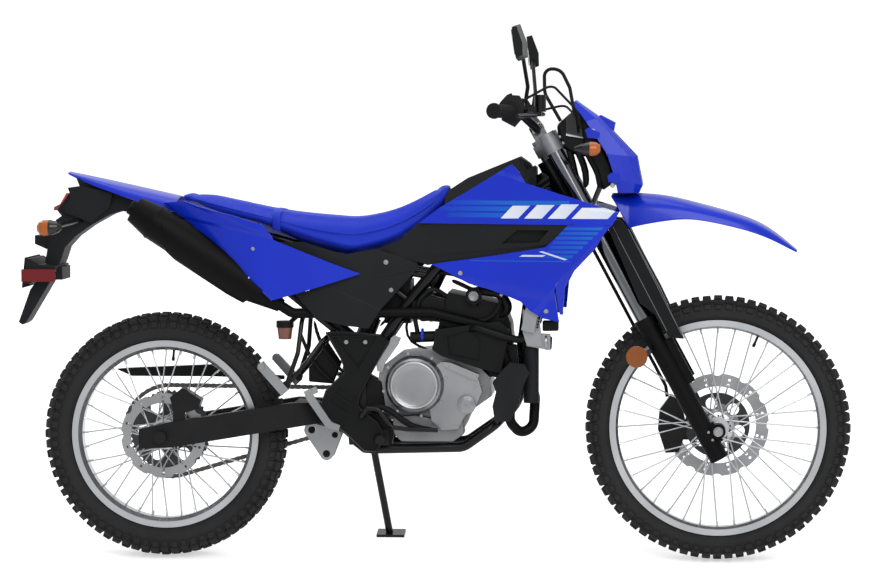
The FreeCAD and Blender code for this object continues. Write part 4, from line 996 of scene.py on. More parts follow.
@dataclass
class Wheels:
    """Tyres, spoke nipples, valves and the drum of the front hub."""

    spokes: int = 36
    studs: int = 14

    def nipples(self, name: str, body: Body, centre: Point, radius: float, valve: float) -> None:
        """Places the spoke nipples and the valve of a wheel.

        Args:
            name: Name of the piece.
            body: The wheel's body.
            centre: The axle point.
            radius: Inner radius of the rim.
            valve: Angle of the valve ahead of the top, in radians.
        """
        meshes = []
        for hand in (-1, 1):
            shape = Shape()
            shape.lathe([(-12, 0), (-12, 2.1), (-3, 2.6), (0.5, 3.4), (0.5, 0)], (0, 0, 0),
                        (0, 0, 1), 8)
            meshes.append(REPEATS.round_axis(name + "_ring", shape.mesh("nipple"), centre,
                                             self.spokes // 2, radius, hand * 6.0,
                                             0.5 if hand > 0 else 0.0, Finishes.bright))
        placed(joined(meshes, name), Finishes.bright, body)
        stem = Shape()
        inward = Vector((math.sin(valve), 0, math.cos(valve)))
        top, foot = (Vector(centre) + inward * (radius + d) for d in (4, -30))
        stem.lathe([(0, 0), (0, 6.5), (3, 6.5), (5, 3.2), (24, 3.2), (24, 4.2), (33, 4.2), (34, 0)],
                   top, foot, 16)
        stem.place(name.replace("nipples", "valve"), Finishes.rubber, body)

    def build(self) -> None:
        """Builds everything on both wheels."""
        m = MACHINE
        front = (m.wheelbase, 0.0, m.front_radius)
        rear = (0.0, 0.0, m.rear_radius)
        Tyre("front_tyre", Body.FRONT_WHEEL, front, m.front_radius, 278.0, 262.0, 26.0,
             37.5).build()
        Tyre("rear_tyre", Body.REAR_WHEEL, rear, m.rear_radius, 244.0, 228.0, 32.0, 48.0).build()
        self.nipples("front_nipples", Body.FRONT_WHEEL, front, 256.0, 0.41)
        self.nipples("rear_nipples", Body.REAR_WHEEL, rear, 219.0, 0.09)
        x, _, z = front
        turned("front_hub_drum", Finishes.bright, [
            ([(0, 0), (0, 37), (2.5, 41), (8, 43), (26, 43), (30, 40), (30, 0)],
             (x, -21, z), (x, 0, z), 72)], Body.FRONT_WHEEL)
        turns = [2 * math.pi * (k + 0.4) / self.studs for k in range(self.studs)]
        holes = [(x + 32 * math.cos(a), z + 32 * math.sin(a)) for a in turns]
        turned("front_hub_studs", Finishes.satin_black, [
            ([(0, 0), (0, 2.6), (0.6, 2.8), (1.2, 2.8), (1.2, 0)], (x, -21.8, z), (x, -21, z), 12)
            for x, z in holes], Body.FRONT_WHEEL)


@dataclass
class Chain:
    """Roller chain whose links follow the loop round both sprockets."""

    pitch: float = 15.875
    thickness: float = 1.6

    def path(self) -> list[tuple[Vector, float]]:
        """Middle of every link and its angle from the ground.

        Returns:
            Points and angles in radians, in order round the loop.
        """
        m = MACHINE
        big, small = m.chain_radius, m.drive_radius
        dx, dz = m.drive[0], m.drive[1] - m.rear_radius
        length, tilt = math.hypot(dx, dz), math.atan2(dz, dx)
        spread = math.acos((big - small) / length)
        straight = math.sqrt(length ** 2 - (big - small) ** 2)
        arcs = (2 * (math.pi - spread) * big, 2 * spread * small)
        total = arcs[0] + arcs[1] + 2 * straight
        links = 2 * round(total / self.pitch / 2)

        low, top = tilt - spread, tilt + spread

        def at(t: float) -> Vector:
            """Point at a distance round the loop, from an arc and a straight run off its end."""
            x, z, radius, angle, run = 0.0, 0.0, big, top, t - total
            if t < arcs[0]:
                angle, run = top + t / big, 0.0
            elif t < arcs[0] + straight:
                angle, run = low, t - arcs[0]
            elif t < arcs[0] + straight + arcs[1]:
                x, z, radius = dx, dz, small
                angle, run = low + (t - arcs[0] - straight) / small, 0.0
            return Vector((x + radius * math.cos(angle) - math.sin(angle) * run, m.chain_y,
                           m.rear_radius + z + radius * math.sin(angle) + math.cos(angle) * run))

        pins = [at(total * k / links) for k in range(links)]
        return [((a + b) / 2, math.atan2(b.z - a.z, b.x - a.x)) for a, b in around(pins)]

    def link(self, half: float) -> Mesh:
        """Two side plates and a roller, lying along X.

        Args:
            half: Distance from the middle to a plate.

        Returns:
            The mesh.
        """
        shape = Shape()
        ends = self.pitch / 2
        outline = []
        for side in (1, -1):
            for a in (-60, -20, 20, 60):
                angle = math.radians(a if side > 0 else 180 + a)
                outline.append((side * ends + 6.6 * math.cos(angle), 6.6 * math.sin(angle)))
            outline.append((0.0, side * 4.6))
        for hand in (-1, 1):
            y = hand * half
            shape.prism(outline, y - self.thickness / 2, y + self.thickness / 2)
        for x in (-ends, ends):
            shape.lathe([(-half, 0), (-half, 4.0), (half, 4.0), (half, 0)], (x, 0, 0), (x, 1, 0), 8)
        return shape.mesh("link")

    def build(self) -> None:
        """Builds the chain in place of the plain loop."""
        spots = self.path()
        meshes = []
        for hand, half in ((0, 4.6), (1, 6.6)):
            chosen = [(p, Euler((0, -a, 0)), (1, 1, 1)) for p, a in spots[hand::2]]
            meshes.append(REPEATS.at_points(f"chain_row_{hand}", self.link(half), chosen,
                                            Finishes.chain))
        placed(joined(meshes, "roller_chain"), Finishes.chain, Body.CHASSIS, 30.0, ("chain",))


@dataclass
class SidePanel:
    """Sculpted moulding on both sides: an outline that follows a plan line, with creases."""

    name: str
    body: Body
    finish: Finish
    outline: Outline
    plan: Outline
    creases: Sequence[tuple[tuple[float, float], tuple[float, float], float, float]] = ()
    wall: float = 4.0
    grid: float = 22.0
    replaces: Sequence[str] = ()
    opening: Outline = ()

    def depth(self, x: float) -> float:
        """Distance of the wall's outer face from the middle plane, rounded at the plan's bends."""
        return sum(self.plan_at(x + step) for step in (-18, -12, -6, 0, 6, 12, 18)) / 7

    def plan_at(self, x: float) -> float:
        """Distance of the plan line from the middle plane."""
        line = list(self.plan)
        if x <= line[0][0]:
            return line[0][1]
        for (x0, y0), (x1, y1) in zip(line, line[1:]):
            if x <= x1:
                return y0 + (y1 - y0) * (x - x0) / (x1 - x0)
        return line[-1][1]

    def rise(self, x: float, z: float) -> float:
        """How far the creases lift the face at a point."""
        total = 0.0
        for (ax, az), (bx, bz), width, height in self.creases:
            length = math.hypot(bx - ax, bz - az)
            side = ((x - ax) * -(bz - az) + (z - az) * (bx - ax)) / length
            share = min(max(side / width, 0.0), 1.0)
            total += height * share
        return total

    def open_at(self, spot: Vector) -> bool:
        """Whether a point of the face lies in the opening, whose outline turns one way."""
        turns = [(bx - ax) * (spot.z - az) - (bz - az) * (spot.x - ax)
                 for (ax, az), (bx, bz) in around(self.opening)]
        return min(turns) > 0 or max(turns) < 0

    def mesh(self, hand: int) -> Mesh:
        """The outer face on one side, before it gets its wall.

        Args:
            hand: -1 for the right, 1 for the left.

        Returns:
            The upright mesh.
        """
        bm = bmesh.new()
        bm.faces.new([bm.verts.new((x, 0.0, z)) for x, z in self.outline])
        xs, zs = zip(*self.outline)
        cuts = [((x, 0, 0), (1, 0, 0)) for x, _ in self.plan if min(xs) < x < max(xs)]
        for spots, ahead in ((xs, Vector((1, 0, 0))), (zs, Vector((0, 0, 1)))):
            cuts += [(ahead * (min(spots) + self.grid * k), ahead)
                     for k in range(1, int((max(spots) - min(spots)) / self.grid) + 1)]
        for (ax, az), (bx, bz), width, _ in self.creases:
            normal = Vector((-(bz - az), 0, bx - ax)).normalized()
            cuts += [((ax, 0, az), normal), (Vector((ax, 0, az)) + normal * width, normal)]
        for (ax, az), (bx, bz) in around(self.opening):
            cuts.append(((ax, 0, az), Vector((-(bz - az), 0, bx - ax)).normalized()))
        for place, normal in cuts:
            bmesh.ops.bisect_plane(bm, geom=bm.verts[:] + bm.edges[:] + bm.faces[:], dist=0.05,
                                   plane_co=place, plane_no=normal)
        if self.opening:
            bmesh.ops.delete(bm, geom=[f for f in bm.faces if self.open_at(f.calc_center_median())],
                             context="FACES")
        for v in bm.verts:
            v.co.y = hand * (self.depth(v.co.x) + self.rise(v.co.x, v.co.z))
        bmesh.ops.recalc_face_normals(bm, faces=bm.faces)
        if sum(f.normal.y * f.calc_area() for f in bm.faces) * hand < 0:
            bmesh.ops.reverse_faces(bm, faces=bm.faces)
        mesh = bpy.data.meshes.new(f"{self.name}_{'left' if hand > 0 else 'right'}")
        bm.to_mesh(mesh)
        bm.free()
        return mesh

    def build(self) -> None:
        """Builds the panel on both sides."""
        for hand in (-1, 1):
            piece = placed(self.mesh(hand), self.finish, self.body, 12.0,
                           self.replaces if hand < 0 else ())
            faces = Counter(key for face in piece.data.polygons for key in face.edge_keys)
            for edge in piece.data.edges:
                edge.use_edge_sharp = edge.use_edge_sharp or faces[edge.key] == 1
            walled(piece, self.wall)


class Panels:
    """The painted and black mouldings on both sides of the machine."""

    shroud_plan = [(560.0, 120.0), (670.0, 134.0), (830.0, 160.0), (1000.0, 184.0), (1110.0, 198.0),
                   (1200.0, 192.0)]
    tail_plan = [(0.0, 104.0), (40.0, 113.0), (160.0, 162.0), (260.0, 190.0), (400.0, 176.0),
                 (560.0, 142.0)]
    cover_plan = [(280.0, 152.0), (420.0, 154.0), (560.0, 132.0), (680.0, 120.0)]
    duct = ((868, 815), (908, 862), (1018, 862), (990, 815))
    liner = (((1140, 194, 852), (1145, 190, 853)), ((1110, 196, 814), (1119, 187, 808)),
             ((1036, 188, 744), (1062, 178, 748)), ((1018, 185, 712), (1042, 174, 708)),
             ((1028, 160, 640), (1036, 156, 639)))

    def liners(self) -> None:
        """Places the lip inside the front edge of each shroud."""
        shape = Shape()
        for hand in (-1, 1):
            shape.loft([[(x, hand * y, z) for x, y, z in (a, b)]
                        + [(x, hand * (y - 3), z) for x, y, z in (b, a)] for a, b in self.liner])
        shape.place("shroud_liners", Finishes.blue, Body.CHASSIS, 30.0)
        shape = Shape()
        for hand in (-1, 1):
            rings = [[(x, hand * y, z + lift) for x, z in self.duct]
                     for y, lift in ((150, 0), (140, -2), (132, -6), (129, -6))]
            shape.loft(rings)
        shape.place("shroud_ducts", Finishes.satin_black, Body.CHASSIS, 30.0)

    def build(self) -> None:
        """Builds the shrouds, covers and side panels."""
        upper = [(906, 1021), (787, 948), (723, 911), (668, 870), (1051, 868), (1160, 866),
                 (1173, 889), (1176, 901), (1096, 925), (1015, 950), (942, 973), (926, 1000)]
        SidePanel("shroud_upper", Body.CHASSIS, Finishes.ribbon, upper, self.shroud_plan, [
            ((942, 973), (1176, 901), 12, -4.0), ((840, 926), (1170, 900), 4, -1.4),
            ((672, 880), (905, 1012), 12, -4.0)], replaces=("shrouds",)).build()
        lower = [(700, 766), (760, 737), (797, 717), (847, 704), (897, 686), (929, 673), (952, 651),
                 (984, 631), (1027, 622), (1022, 651), (1015, 701), (1020, 719), (1038, 742),
                 (1123, 824), (1160, 868), (1051, 870), (1024, 841), (992, 811), (865, 790)]
        SidePanel("shroud_lower", Body.CHASSIS, Finishes.ribbon, lower, self.shroud_plan, [
            ((1160, 872), (1020, 716), 16, -6.0), ((1050, 690), (700, 752), 26, -5.0)]).build()
        insert = [(668, 873), (1051, 871), (1026, 838), (994, 809), (865, 786), (787, 780),
                  (690, 763), (677, 768), (663, 772), (557, 803), (617, 824)]
        SidePanel("shroud_insert", Body.CHASSIS, Finishes.black, insert,
                  [(x, y - 7) for x, y in self.shroud_plan], [
                      ((870, 800), (990, 812), 8, 3.0), ((610, 822), (700, 868), 6, -2.0)],
                  replaces=("tank_covers",),
                  opening=[(881, 820), (920, 854), (1001, 854), (974, 823)]).build()
        self.liners()
        blue = [(521, 741), (444, 717), (359, 691), (307, 677), (296, 674), (165, 799), (75, 874),
                (9, 920), (65, 925), (103, 912), (196, 890), (277, 866), (303, 828), (445, 770)]
        SidePanel("side_panel", Body.CHASSIS, Finishes.blue, blue, self.tail_plan, [
            ((300, 680), (20, 920), 9, -4.0), ((75, 877), (298, 831), 8, 3.0),
            ((298, 831), (500, 752), 10, 3.0)], replaces=("side_panels",)).build()
        cover = [(305, 822), (520, 741), (354, 688), (408, 627), (481, 608), (540, 601), (569, 648),
                 (667, 756), (662, 772), (557, 804), (479, 790), (376, 822)]
        SidePanel("side_cover", Body.CHASSIS, Finishes.black, cover, self.cover_plan, [
            ((349, 688), (436, 706), 5, -3.0), ((436, 706), (660, 749), 6, 3.0),
            ((566, 647), (581, 640), 5, -2.0)], replaces=("side_covers",)).build()


@dataclass
class Seat:
    """Padded bench seat with a grab strap and a seam round its side."""

    line: Sequence[tuple[float, float, float, float]] = (
        (52, 940, 56, 932), (90, 938, 74, 920), (120, 934, 86, 906), (190, 919, 102, 887),
        (266, 903, 110, 868), (330, 892, 118, 846), (388, 885, 122, 826), (445, 880, 122, 812),
        (498, 877, 116, 801), (550, 884, 106, 812), (600, 897, 94, 828), (640, 913, 82, 849),
        (672, 929, 70, 870), (706, 948, 58, 902), (738, 965, 48, 936))
    cap: float = 7.0
    held_height: float = 4.0
    fade_height: float = 14.0
    frames: int = 20

    def rings(self, shrink: float) -> list[list[Point]]:
        """Cross-sections of the pad.

        Args:
            shrink: How far the side and top lie inside the full shape.

        Returns:
            Rings of points on the upright machine.
        """
        rings = []
        for x, top, half, low in self.line:
            h, t = half - shrink, top - shrink
            side = t - low
            rings.append(arch(x, [(h * 0.93, low), (h, low + 0.3 * side),
                                  (h * 0.97, low + 0.62 * side), (h * 0.82, low + 0.88 * side),
                                  (h * 0.5, t - 0.6)], t))
        return rings

    def puffed(self, mesh: Mesh) -> Mesh:
        """Args:
            mesh: The placed mesh in metres.

        Returns:
            The swollen mesh.
        """
        scene = bpy.context.scene
        pad = linked("pad_source", mesh)
        remesh = pad.modifiers.new("voxels", "REMESH")
        remesh.mode = "VOXEL"
        remesh.voxel_size = 0.006
        bpy.context.view_layer.update()
        graph = bpy.context.evaluated_depsgraph_get()
        solid = bpy.data.meshes.new_from_object(pad.evaluated_get(graph))
        pad.modifiers.clear()
        pad.data = solid
        rest = [v.co.copy() for v in solid.vertices]
        back = STANDING.inverted()
        held = pad.vertex_groups.new(name="held")
        for v in solid.vertices:
            spot = back @ v.co
            above = spot.z - self.base(spot.x) - self.held_height
            held.add([v.index], min(max(1.0 - above / self.fade_height, 0.0), 1.0), "REPLACE")
        cloth = pad.modifiers.new("pad", "CLOTH")
        cloth.settings.use_pressure = True
        cloth.settings.uniform_pressure_force = 4.0
        cloth.settings.vertex_group_mass = "held"
        cloth.settings.effector_weights.gravity = 0.0
        cloth.point_cache.frame_start = 1
        cloth.point_cache.frame_end = self.frames
        for step in range(1, self.frames + 1):
            scene.frame_set(step)
        graph = bpy.context.evaluated_depsgraph_get()
        swollen = bpy.data.meshes.new_from_object(pad.evaluated_get(graph))
        cap = self.cap * 0.001
        for v, start in zip(swollen.vertices, rest):
            move = v.co - start
            if move.length > cap:
                v.co = start + move.normalized() * self.cap * 0.001
        pad.modifiers.clear()
        scene.frame_set(1)
        bpy.data.objects.remove(pad)
        return swollen

    def base(self, x: float) -> float:
        """Height of the pad's underside at a distance along."""
        for (x0, _, _, z0), (x1, _, _, z1) in zip(self.line, self.line[1:]):
            if x <= x1:
                return z0 + (z1 - z0) * max(x - x0, 0.0) / (x1 - x0)
        return self.line[-1][3]

    def strap(self) -> None:
        """Places the strap across the pad and its two end lugs."""
        shape = Shape()
        low, top, half = 866.0, 899.5, 114.5
        ring = arch(0, [(half + 1.5, low - 18), (half + 2.2, low + 8), (half * 0.99, low + 18),
                        (half * 0.88, top - 3.5), (half * 0.5, top + 1.6)], top + 2.6)
        rows = []
        for x, lift in ((292, -0.4), (294, 1.2), (310, 1.2), (312, -0.4)):
            slope = (302 - x) * 0.16
            rows.append([(x, y * (1 + lift * 0.004), z + lift + slope) for _, y, z in ring])
        shape.loft(rows, closed=False, ends=False)
        piece = shape.place("seat_strap", Finishes.seat, Body.CHASSIS, 30.0)
        walled(piece, 2.2, 0.0)
        subdivided(piece, 2)

    def seam(self) -> None:
        """Places the welt that runs round the side of the pad."""
        shape = Shape()
        for hand in (-1, 1):
            points = [(x, hand * (half * 0.985), low + 0.5 * (top - low))
                      for x, top, half, low in self.line[1:-1]]
            shape.pipe(points, 1.5, 8)
        subdivided(shape.place("seat_welt", Finishes.seat, Body.CHASSIS, 60.0))

    def build(self) -> None:
        """Builds the pad, strap and welt."""
        shape = Shape()
        shape.loft(self.rings(2.0))
        mesh = shape.mesh("seat_pad")
        bm = bmesh.new()
        bm.from_mesh(mesh)
        bmesh.ops.subdivide_edges(bm, edges=bm.edges, cuts=3, smooth=0.6, use_grid_fill=True)
        bmesh.ops.triangulate(bm, faces=[f for f in bm.faces if len(f.verts) > 4])
        bm.to_mesh(mesh)
        bm.free()
        mesh.transform(STANDING)
        mesh = self.puffed(mesh)
        mesh.name = "seat_pad"
        mesh.transform(STANDING.inverted())
        pad = placed(mesh, Finishes.seat, Body.CHASSIS, 60.0, ("seat",))
        subdivided(pad)
        self.strap()
        self.seam()


@dataclass
class Fender:
    """Arched moulding through stations of (x, z, half width, drop), smooth with a middle ridge."""

    name: str
    body: Body
    stations: Sequence[tuple[float, float, float, float]]
    replaces: Sequence[str]
    wall: float = 3.5

    def build(self) -> None:
        """Builds the fender."""
        shape = Shape()
        rows = []
        for x, z, half, drop in self.stations:
            rows.append(arch(x, [(half, z - drop), (half * 0.95, z - drop * 0.62),
                                 (half * 0.86, z - drop * 0.35), (half * 0.64, z - drop * 0.12 - 2),
                                 (half * 0.3, z - 2.4)], z))
        shape.loft(rows, closed=False, ends=False)
        mesh = shape.mesh(self.name + "_moulding")
        if sum(p.normal.z * p.area for p in mesh.polygons) < 0:
            mesh.flip_normals()
        piece = placed(mesh, Finishes.blue, self.body, 40.0, self.replaces)
        subdivided(piece, 2)
        walled(piece, self.wall)
        rounded(piece, 0.9, angle=50.0)


class Screws:
    """Screws and bolts, one mesh for each body and finish."""

    def head(self, sides: int) -> Mesh:
        """A flanged head of unit radius with a socket, Z outward."""
        shape = Shape()
        for profile, steps in (
                ([(-0.3, 0), (-0.3, 1.0), (0.1, 1.0), (0.2, 0.92), (0.2, 0)], 16),
                ([(0.1, 0), (0.1, 0.72), (0.62, 0.72), (0.7, 0.6), (0.7, 0.34), (0.35, 0.32),
                  (0.35, 0)], sides)):
            shape.lathe(profile, (0, 0, 0), (0, 0, 1), steps)
        return shape.mesh("screw_head", 0.0005)

    def ring(self, x: float, z: float, y: float, radius: float, count: int, start: float,
             size: float) -> list[Spot]:
        """Screws in a circle on a crosswise face.

        Args:
            x: Place of the circle's middle along the machine.
            z: Its height.
            y: The face's distance to the rider's left.
            radius: Radius of the circle.
            count: Number of screws.
            start: Angle of the first screw in degrees.
            size: Radius of a screw.

        Returns:
            The spots.
        """
        turns = [math.radians(start + 360.0 * k / count) for k in range(count)]
        return [((x + radius * math.cos(a), y, z + radius * math.sin(a)),
                 facing((0, 1 if y > 0 else -1, 0), a), (size, size, size)) for a in turns]

    def flat(self, spots: Sequence[tuple[float, float, float, float]]) -> list[Spot]:
        """Screws of (x, y, z, radius) that face outward to their side."""
        return [((x, y, z), facing((0, 1 if y > 0 else -1, 0), x * 0.1), (r, r, r))
                for x, y, z, r in spots]

    def scatter(self, name: str, spots: Sequence[Spot], body: Body = Body.CHASSIS,
                finish: Finish = Finishes.zinc, sides: int = 6) -> None:
        """Places one mesh of screws.

        Args:
            name: Name of the piece.
            spots: Where the screws sit.
            body: The body that they ride on.
            finish: Their finish.
            sides: Corners of a screw's socket.
        """
        placed(REPEATS.at_points(name, self.head(sides), spots, finish), finish, body, 30.0)

    def build(self) -> None:
        """Places every screw."""
        m = MACHINE
        self.scatter("engine_screws", self.ring(*m.clutch, -128.5, 81.0, 8, 12, 4.2)
                     + self.ring(735, 432, 118.5, 72.0, 7, 20, 4.2)
                     + self.ring(790, 408, -140.5, 17.5, 3, 40, 3.2)
                     + self.flat([
                         (742, -138.5, 506, 4.2), (812, -138.5, 478, 4.2), (812, -126.5, 452, 4.0),
                         (722, -126.5, 352, 4.0), (762, -126.5, 352, 4.0), (800, -126.5, 398, 4.0),
                         (611, -113, 573, 5.5), (566, -113, 499, 5.0), (481, -119, 565, 5.5),
                         (530, -119, 565, 5.5), (388, -130, 441, 5.0), (452, -130, 349, 5.0)]))
        self.scatter("link_bushes", self.flat([
            (383, -34, 331, 9.5), (421, -34, 269, 9.5), (443, -34, 318, 8.0)]),
            finish=Finishes.rubber, sides=24)
        panel, steer = [], []
        for hand in (-1, 1):
            panel += self.flat([(x, hand * y, z, r) for x, y, z, r in (
                (584, 128.6, 770, 6.5), (597, 127.3, 699, 6.0), (775, 151.8, 744, 6.0),
                (994, 172.6, 649, 6.0), (250, 186.9, 806, 5.0))])
            steer += self.flat([(1160, hand * 112.5, 966, 6.0), (1110, hand * 96.5, 1104, 6.0)])
            half = m.fork_half
            for ups, aheads, ys, way, size in (
                    ((634, 654, 832, 850), (29,), (hand * (half - 12),), (0.88, 0, 0.47), 4.5),
                    ((10, -12), (8,), (hand * (half + 22.2),), (0, hand, 0), 4.0),
                    ((906,), (-28, -4), (hand * 50 - 10, hand * 50 + 10), (-0.474, 0, 0.88), 3.6)):
                steer += [(m.fork(up, ahead, y), facing(way), (size, size, size))
                          for up in ups for y in ys for ahead in aheads]
        self.scatter("panel_screws", panel, finish=Finishes.steel)
        self.scatter("steering_screws", steer, Body.STEERING)
        front, rear = (m.wheelbase, m.front_radius), (0.0, m.rear_radius)
        self.scatter("front_disc_screws", self.ring(*front, 68.6, 74.0, 6, 0, 4.6),
                     Body.FRONT_WHEEL)
        self.scatter("rear_hub_screws", self.ring(*rear, -66.4, 26.0, 5, 0, 4.4)
                     + self.ring(*rear, m.chain_y + 0.2, 34.0, 6, 30, 5.0), Body.REAR_WHEEL)


class Controls:
    """Grips, switches and mirror glasses at the handlebar."""

    ends = ((874.0, -400.0, 1156.0), (928.0, -236.0, 1153.0))

    def along(self, distance: float, hand: int) -> Vector:
        """Point on the bar's outer run, measured inward from its end."""
        a, b = Vector(self.ends[0]), Vector(self.ends[1])
        p = a + (b - a).normalized() * (distance - 6)
        return Vector((p.x, -hand * p.y if hand > 0 else p.y, p.z))

    def grips(self) -> None:
        """Places both ribbed grips."""
        shape = Shape()
        for hand in (-1, 1):
            start, end = self.along(0, hand), self.along(122, hand)
            profile = [(0, 0), (0, 17.5), (2, 19.5), (7, 19.8), (9, 17.0)]
            for k in range(24):
                t = 11 + 4.2 * k
                profile += [(t, 16.2), (t + 0.8, 17.0), (t + 3.0, 17.0), (t + 3.6, 16.2)]
            profile += [(114, 17), (116, 24), (122, 25), (124, 24), (124, 0)]
            shape.lathe(profile, start, end, 40)
        shape.place("ribbed_grips", Finishes.rubber, Body.STEERING, 40.0, ("grips",))

    def switches(self) -> None:
        """Places buttons on the pods and the pivots of the levers."""
        shape = Shape()
        shape.lathe([(0, 0), (0, 7), (4, 7), (5, 6), (5, 0)], (906, -262, 1193),
                    (902, -262, 1203), 20)
        shape.box((884, -276, 1150), (880, -252, 1162))
        shape.lathe([(0, 0), (0, 5), (4, 5), (4, 0)], (890, 262, 1160), (882, 262, 1162), 16)
        shape.lathe([(0, 0), (0, 6), (4, 6), (5, 5), (5, 0)], (912, 262, 1182),
                    (910, 262, 1190), 16)
        shape.place("switch_buttons", Finishes.rubber, Body.STEERING)
        lever = Shape()
        for hand in (-1, 1):
            p = self.along(188, hand) + Vector((10, 0, 0))
            lever.lathe([(-9, 0), (-9, 6.5), (9, 6.5), (9, 0)], p, p + Vector((0, 0, 1)), 20)
        lever.place("lever_pivots", Finishes.satin, Body.STEERING)

    def glasses(self) -> None:
        """Places the mirror glasses on the back faces of the housings."""
        shape = Shape()
        for hand, drop in ((-1, 0.0), (1, -14.0)):
            outer = [(929, -356, 1288), (920.4, -356, 1360), (919.4, -456, 1354), (928, -456, 1294)]
            ring = [(x - 2.2, y * (-hand), z + drop) for x, y, z in outer]
            shape.loft([ring, [(x + 1.4, y, z) for x, y, z in ring]])
        rounded(shape.place("mirror_glasses", Finishes.mirror, Body.STEERING), 0.5)

    def build(self) -> None:
        """Builds the controls."""
        self.grips()
        self.switches()
        self.glasses()


@dataclass
class EngineDetails:
    """Spring, clips, radiator fins, clutch face and exhaust rings."""

    damper: Sequence[Point] = ((431, 0, 354), (528, 0, 596))
    silencer: Sequence[Point] = ((235, -142, 712), (-58, -150, 905))
    fins: int = 30
    fin_pitch: float = 7.2
    core_foot: Point = (966, 90, 592)
    core_slope: float = 48 / 228

    def radiator(self) -> None:
        """Places the cooling fins in front of both cores."""
        fin = Shape()
        fin.box((-0.5, -56, -1.6), (4.0, 56, 1.6))
        fin_mesh = fin.mesh("fin")
        slope = math.atan2(48, 230)
        foot_x, y, foot_z = self.core_foot
        spots = []
        for hand in (-1, 1):
            for k in range(self.fins):
                z = foot_z + 14 + self.fin_pitch * k
                x = foot_x + (z - foot_z) * self.core_slope
                spots.append(((x, hand * y, z), Euler((0, slope * 0.5, 0)), (1, 1, 1)))
        placed(REPEATS.at_points("radiator_fins", fin_mesh, spots, Finishes.satin_black),
               Finishes.satin_black)

    def spring(self) -> None:
        """Places the coil spring round the damper."""
        shape = Shape()
        a, axis, side, up = axes(*self.damper)
        length = math.dist(*self.damper)
        turns, steps = 7.5, 22
        points = []
        for k in range(int(turns * steps) + 1):
            angle = 2 * math.pi * k / steps
            points.append(a + axis * length * k / (turns * steps)
                          + (side * math.cos(angle) + up * math.sin(angle)) * 31)
        shape.pipe(points, 5.2, 10)
        shape.place("damper_spring", Finishes.frame_black, Body.CHASSIS, 60.0)

    def clips(self) -> None:
        """Places hose clips and exhaust rings."""
        turned("hose_clips", Finishes.steel, [
            ([(0, radius - 2), (0, radius), (length, radius), (length, radius - 2)], start, end, 40)
            for start, end, radius, length in (
                ((874, -91, 690), (880, -90, 684), 14.2, 7),
                ((812, -90, 676), (812, -91, 668), 14.2, 7),
                ((690, 0, 649), (700, 0, 648), 39.2, 8),
                ((990, -110, 567), (1000, -110, 567), 21, 5))])
        foot, axis, _, _ = axes(*self.silencer)
        strap, ring, tip = (foot + axis * run for run in (7, 288, 350))
        turned("silencer_strap", Finishes.satin, [
            ([(0, 43), (0, 47.2), (3, 47.2), (3, 43)], strap, strap + axis, 56)])
        turned("silencer_rings", Finishes.heat_black, [
            ([(0, 43.2), (0, 47.2), (5, 47.2), (5, 43.2)], ring, ring + axis, 56),
            ([(0, 14), (0, 20), (13, 20), (14, 18), (14, 14)], tip, tip + axis, 36)])

    def clutch(self) -> None:
        """Places the polished ring and dished face of the clutch cover."""
        x, z = MACHINE.clutch
        hub = (x, -148, z)
        turned("clutch_face", Finishes.cover, [
            ([(0, 0), (0, 63), (4.4, 60.6), (5.6, 58.4), (5.4, 55.6), (3.6, 53.4), (2.4, 50),
              (2.6, 30), (2.7, 0)], hub, None, 96)], smooth=40.0)
        turned("clutch_ring", Finishes.bright, [
            ([(4.9, 56), (5.9, 56.6), (6.3, 57.6), (5.9, 58.6), (4.9, 59.2)], hub, None, 96)],
            smooth=60.0)
        turned("thermostat_cap", Finishes.cast, [
            ([(-1, 0), (-1, 13.4), (2.4, 12.6), (3.2, 10.5), (2.6, 9.0), (2.6, 0)],
             (807, -124, 684), None, 40)])

    def build(self) -> None:
        """Builds the engine details."""
        self.clutch()
        self.radiator()
        self.spring()
        self.clips()


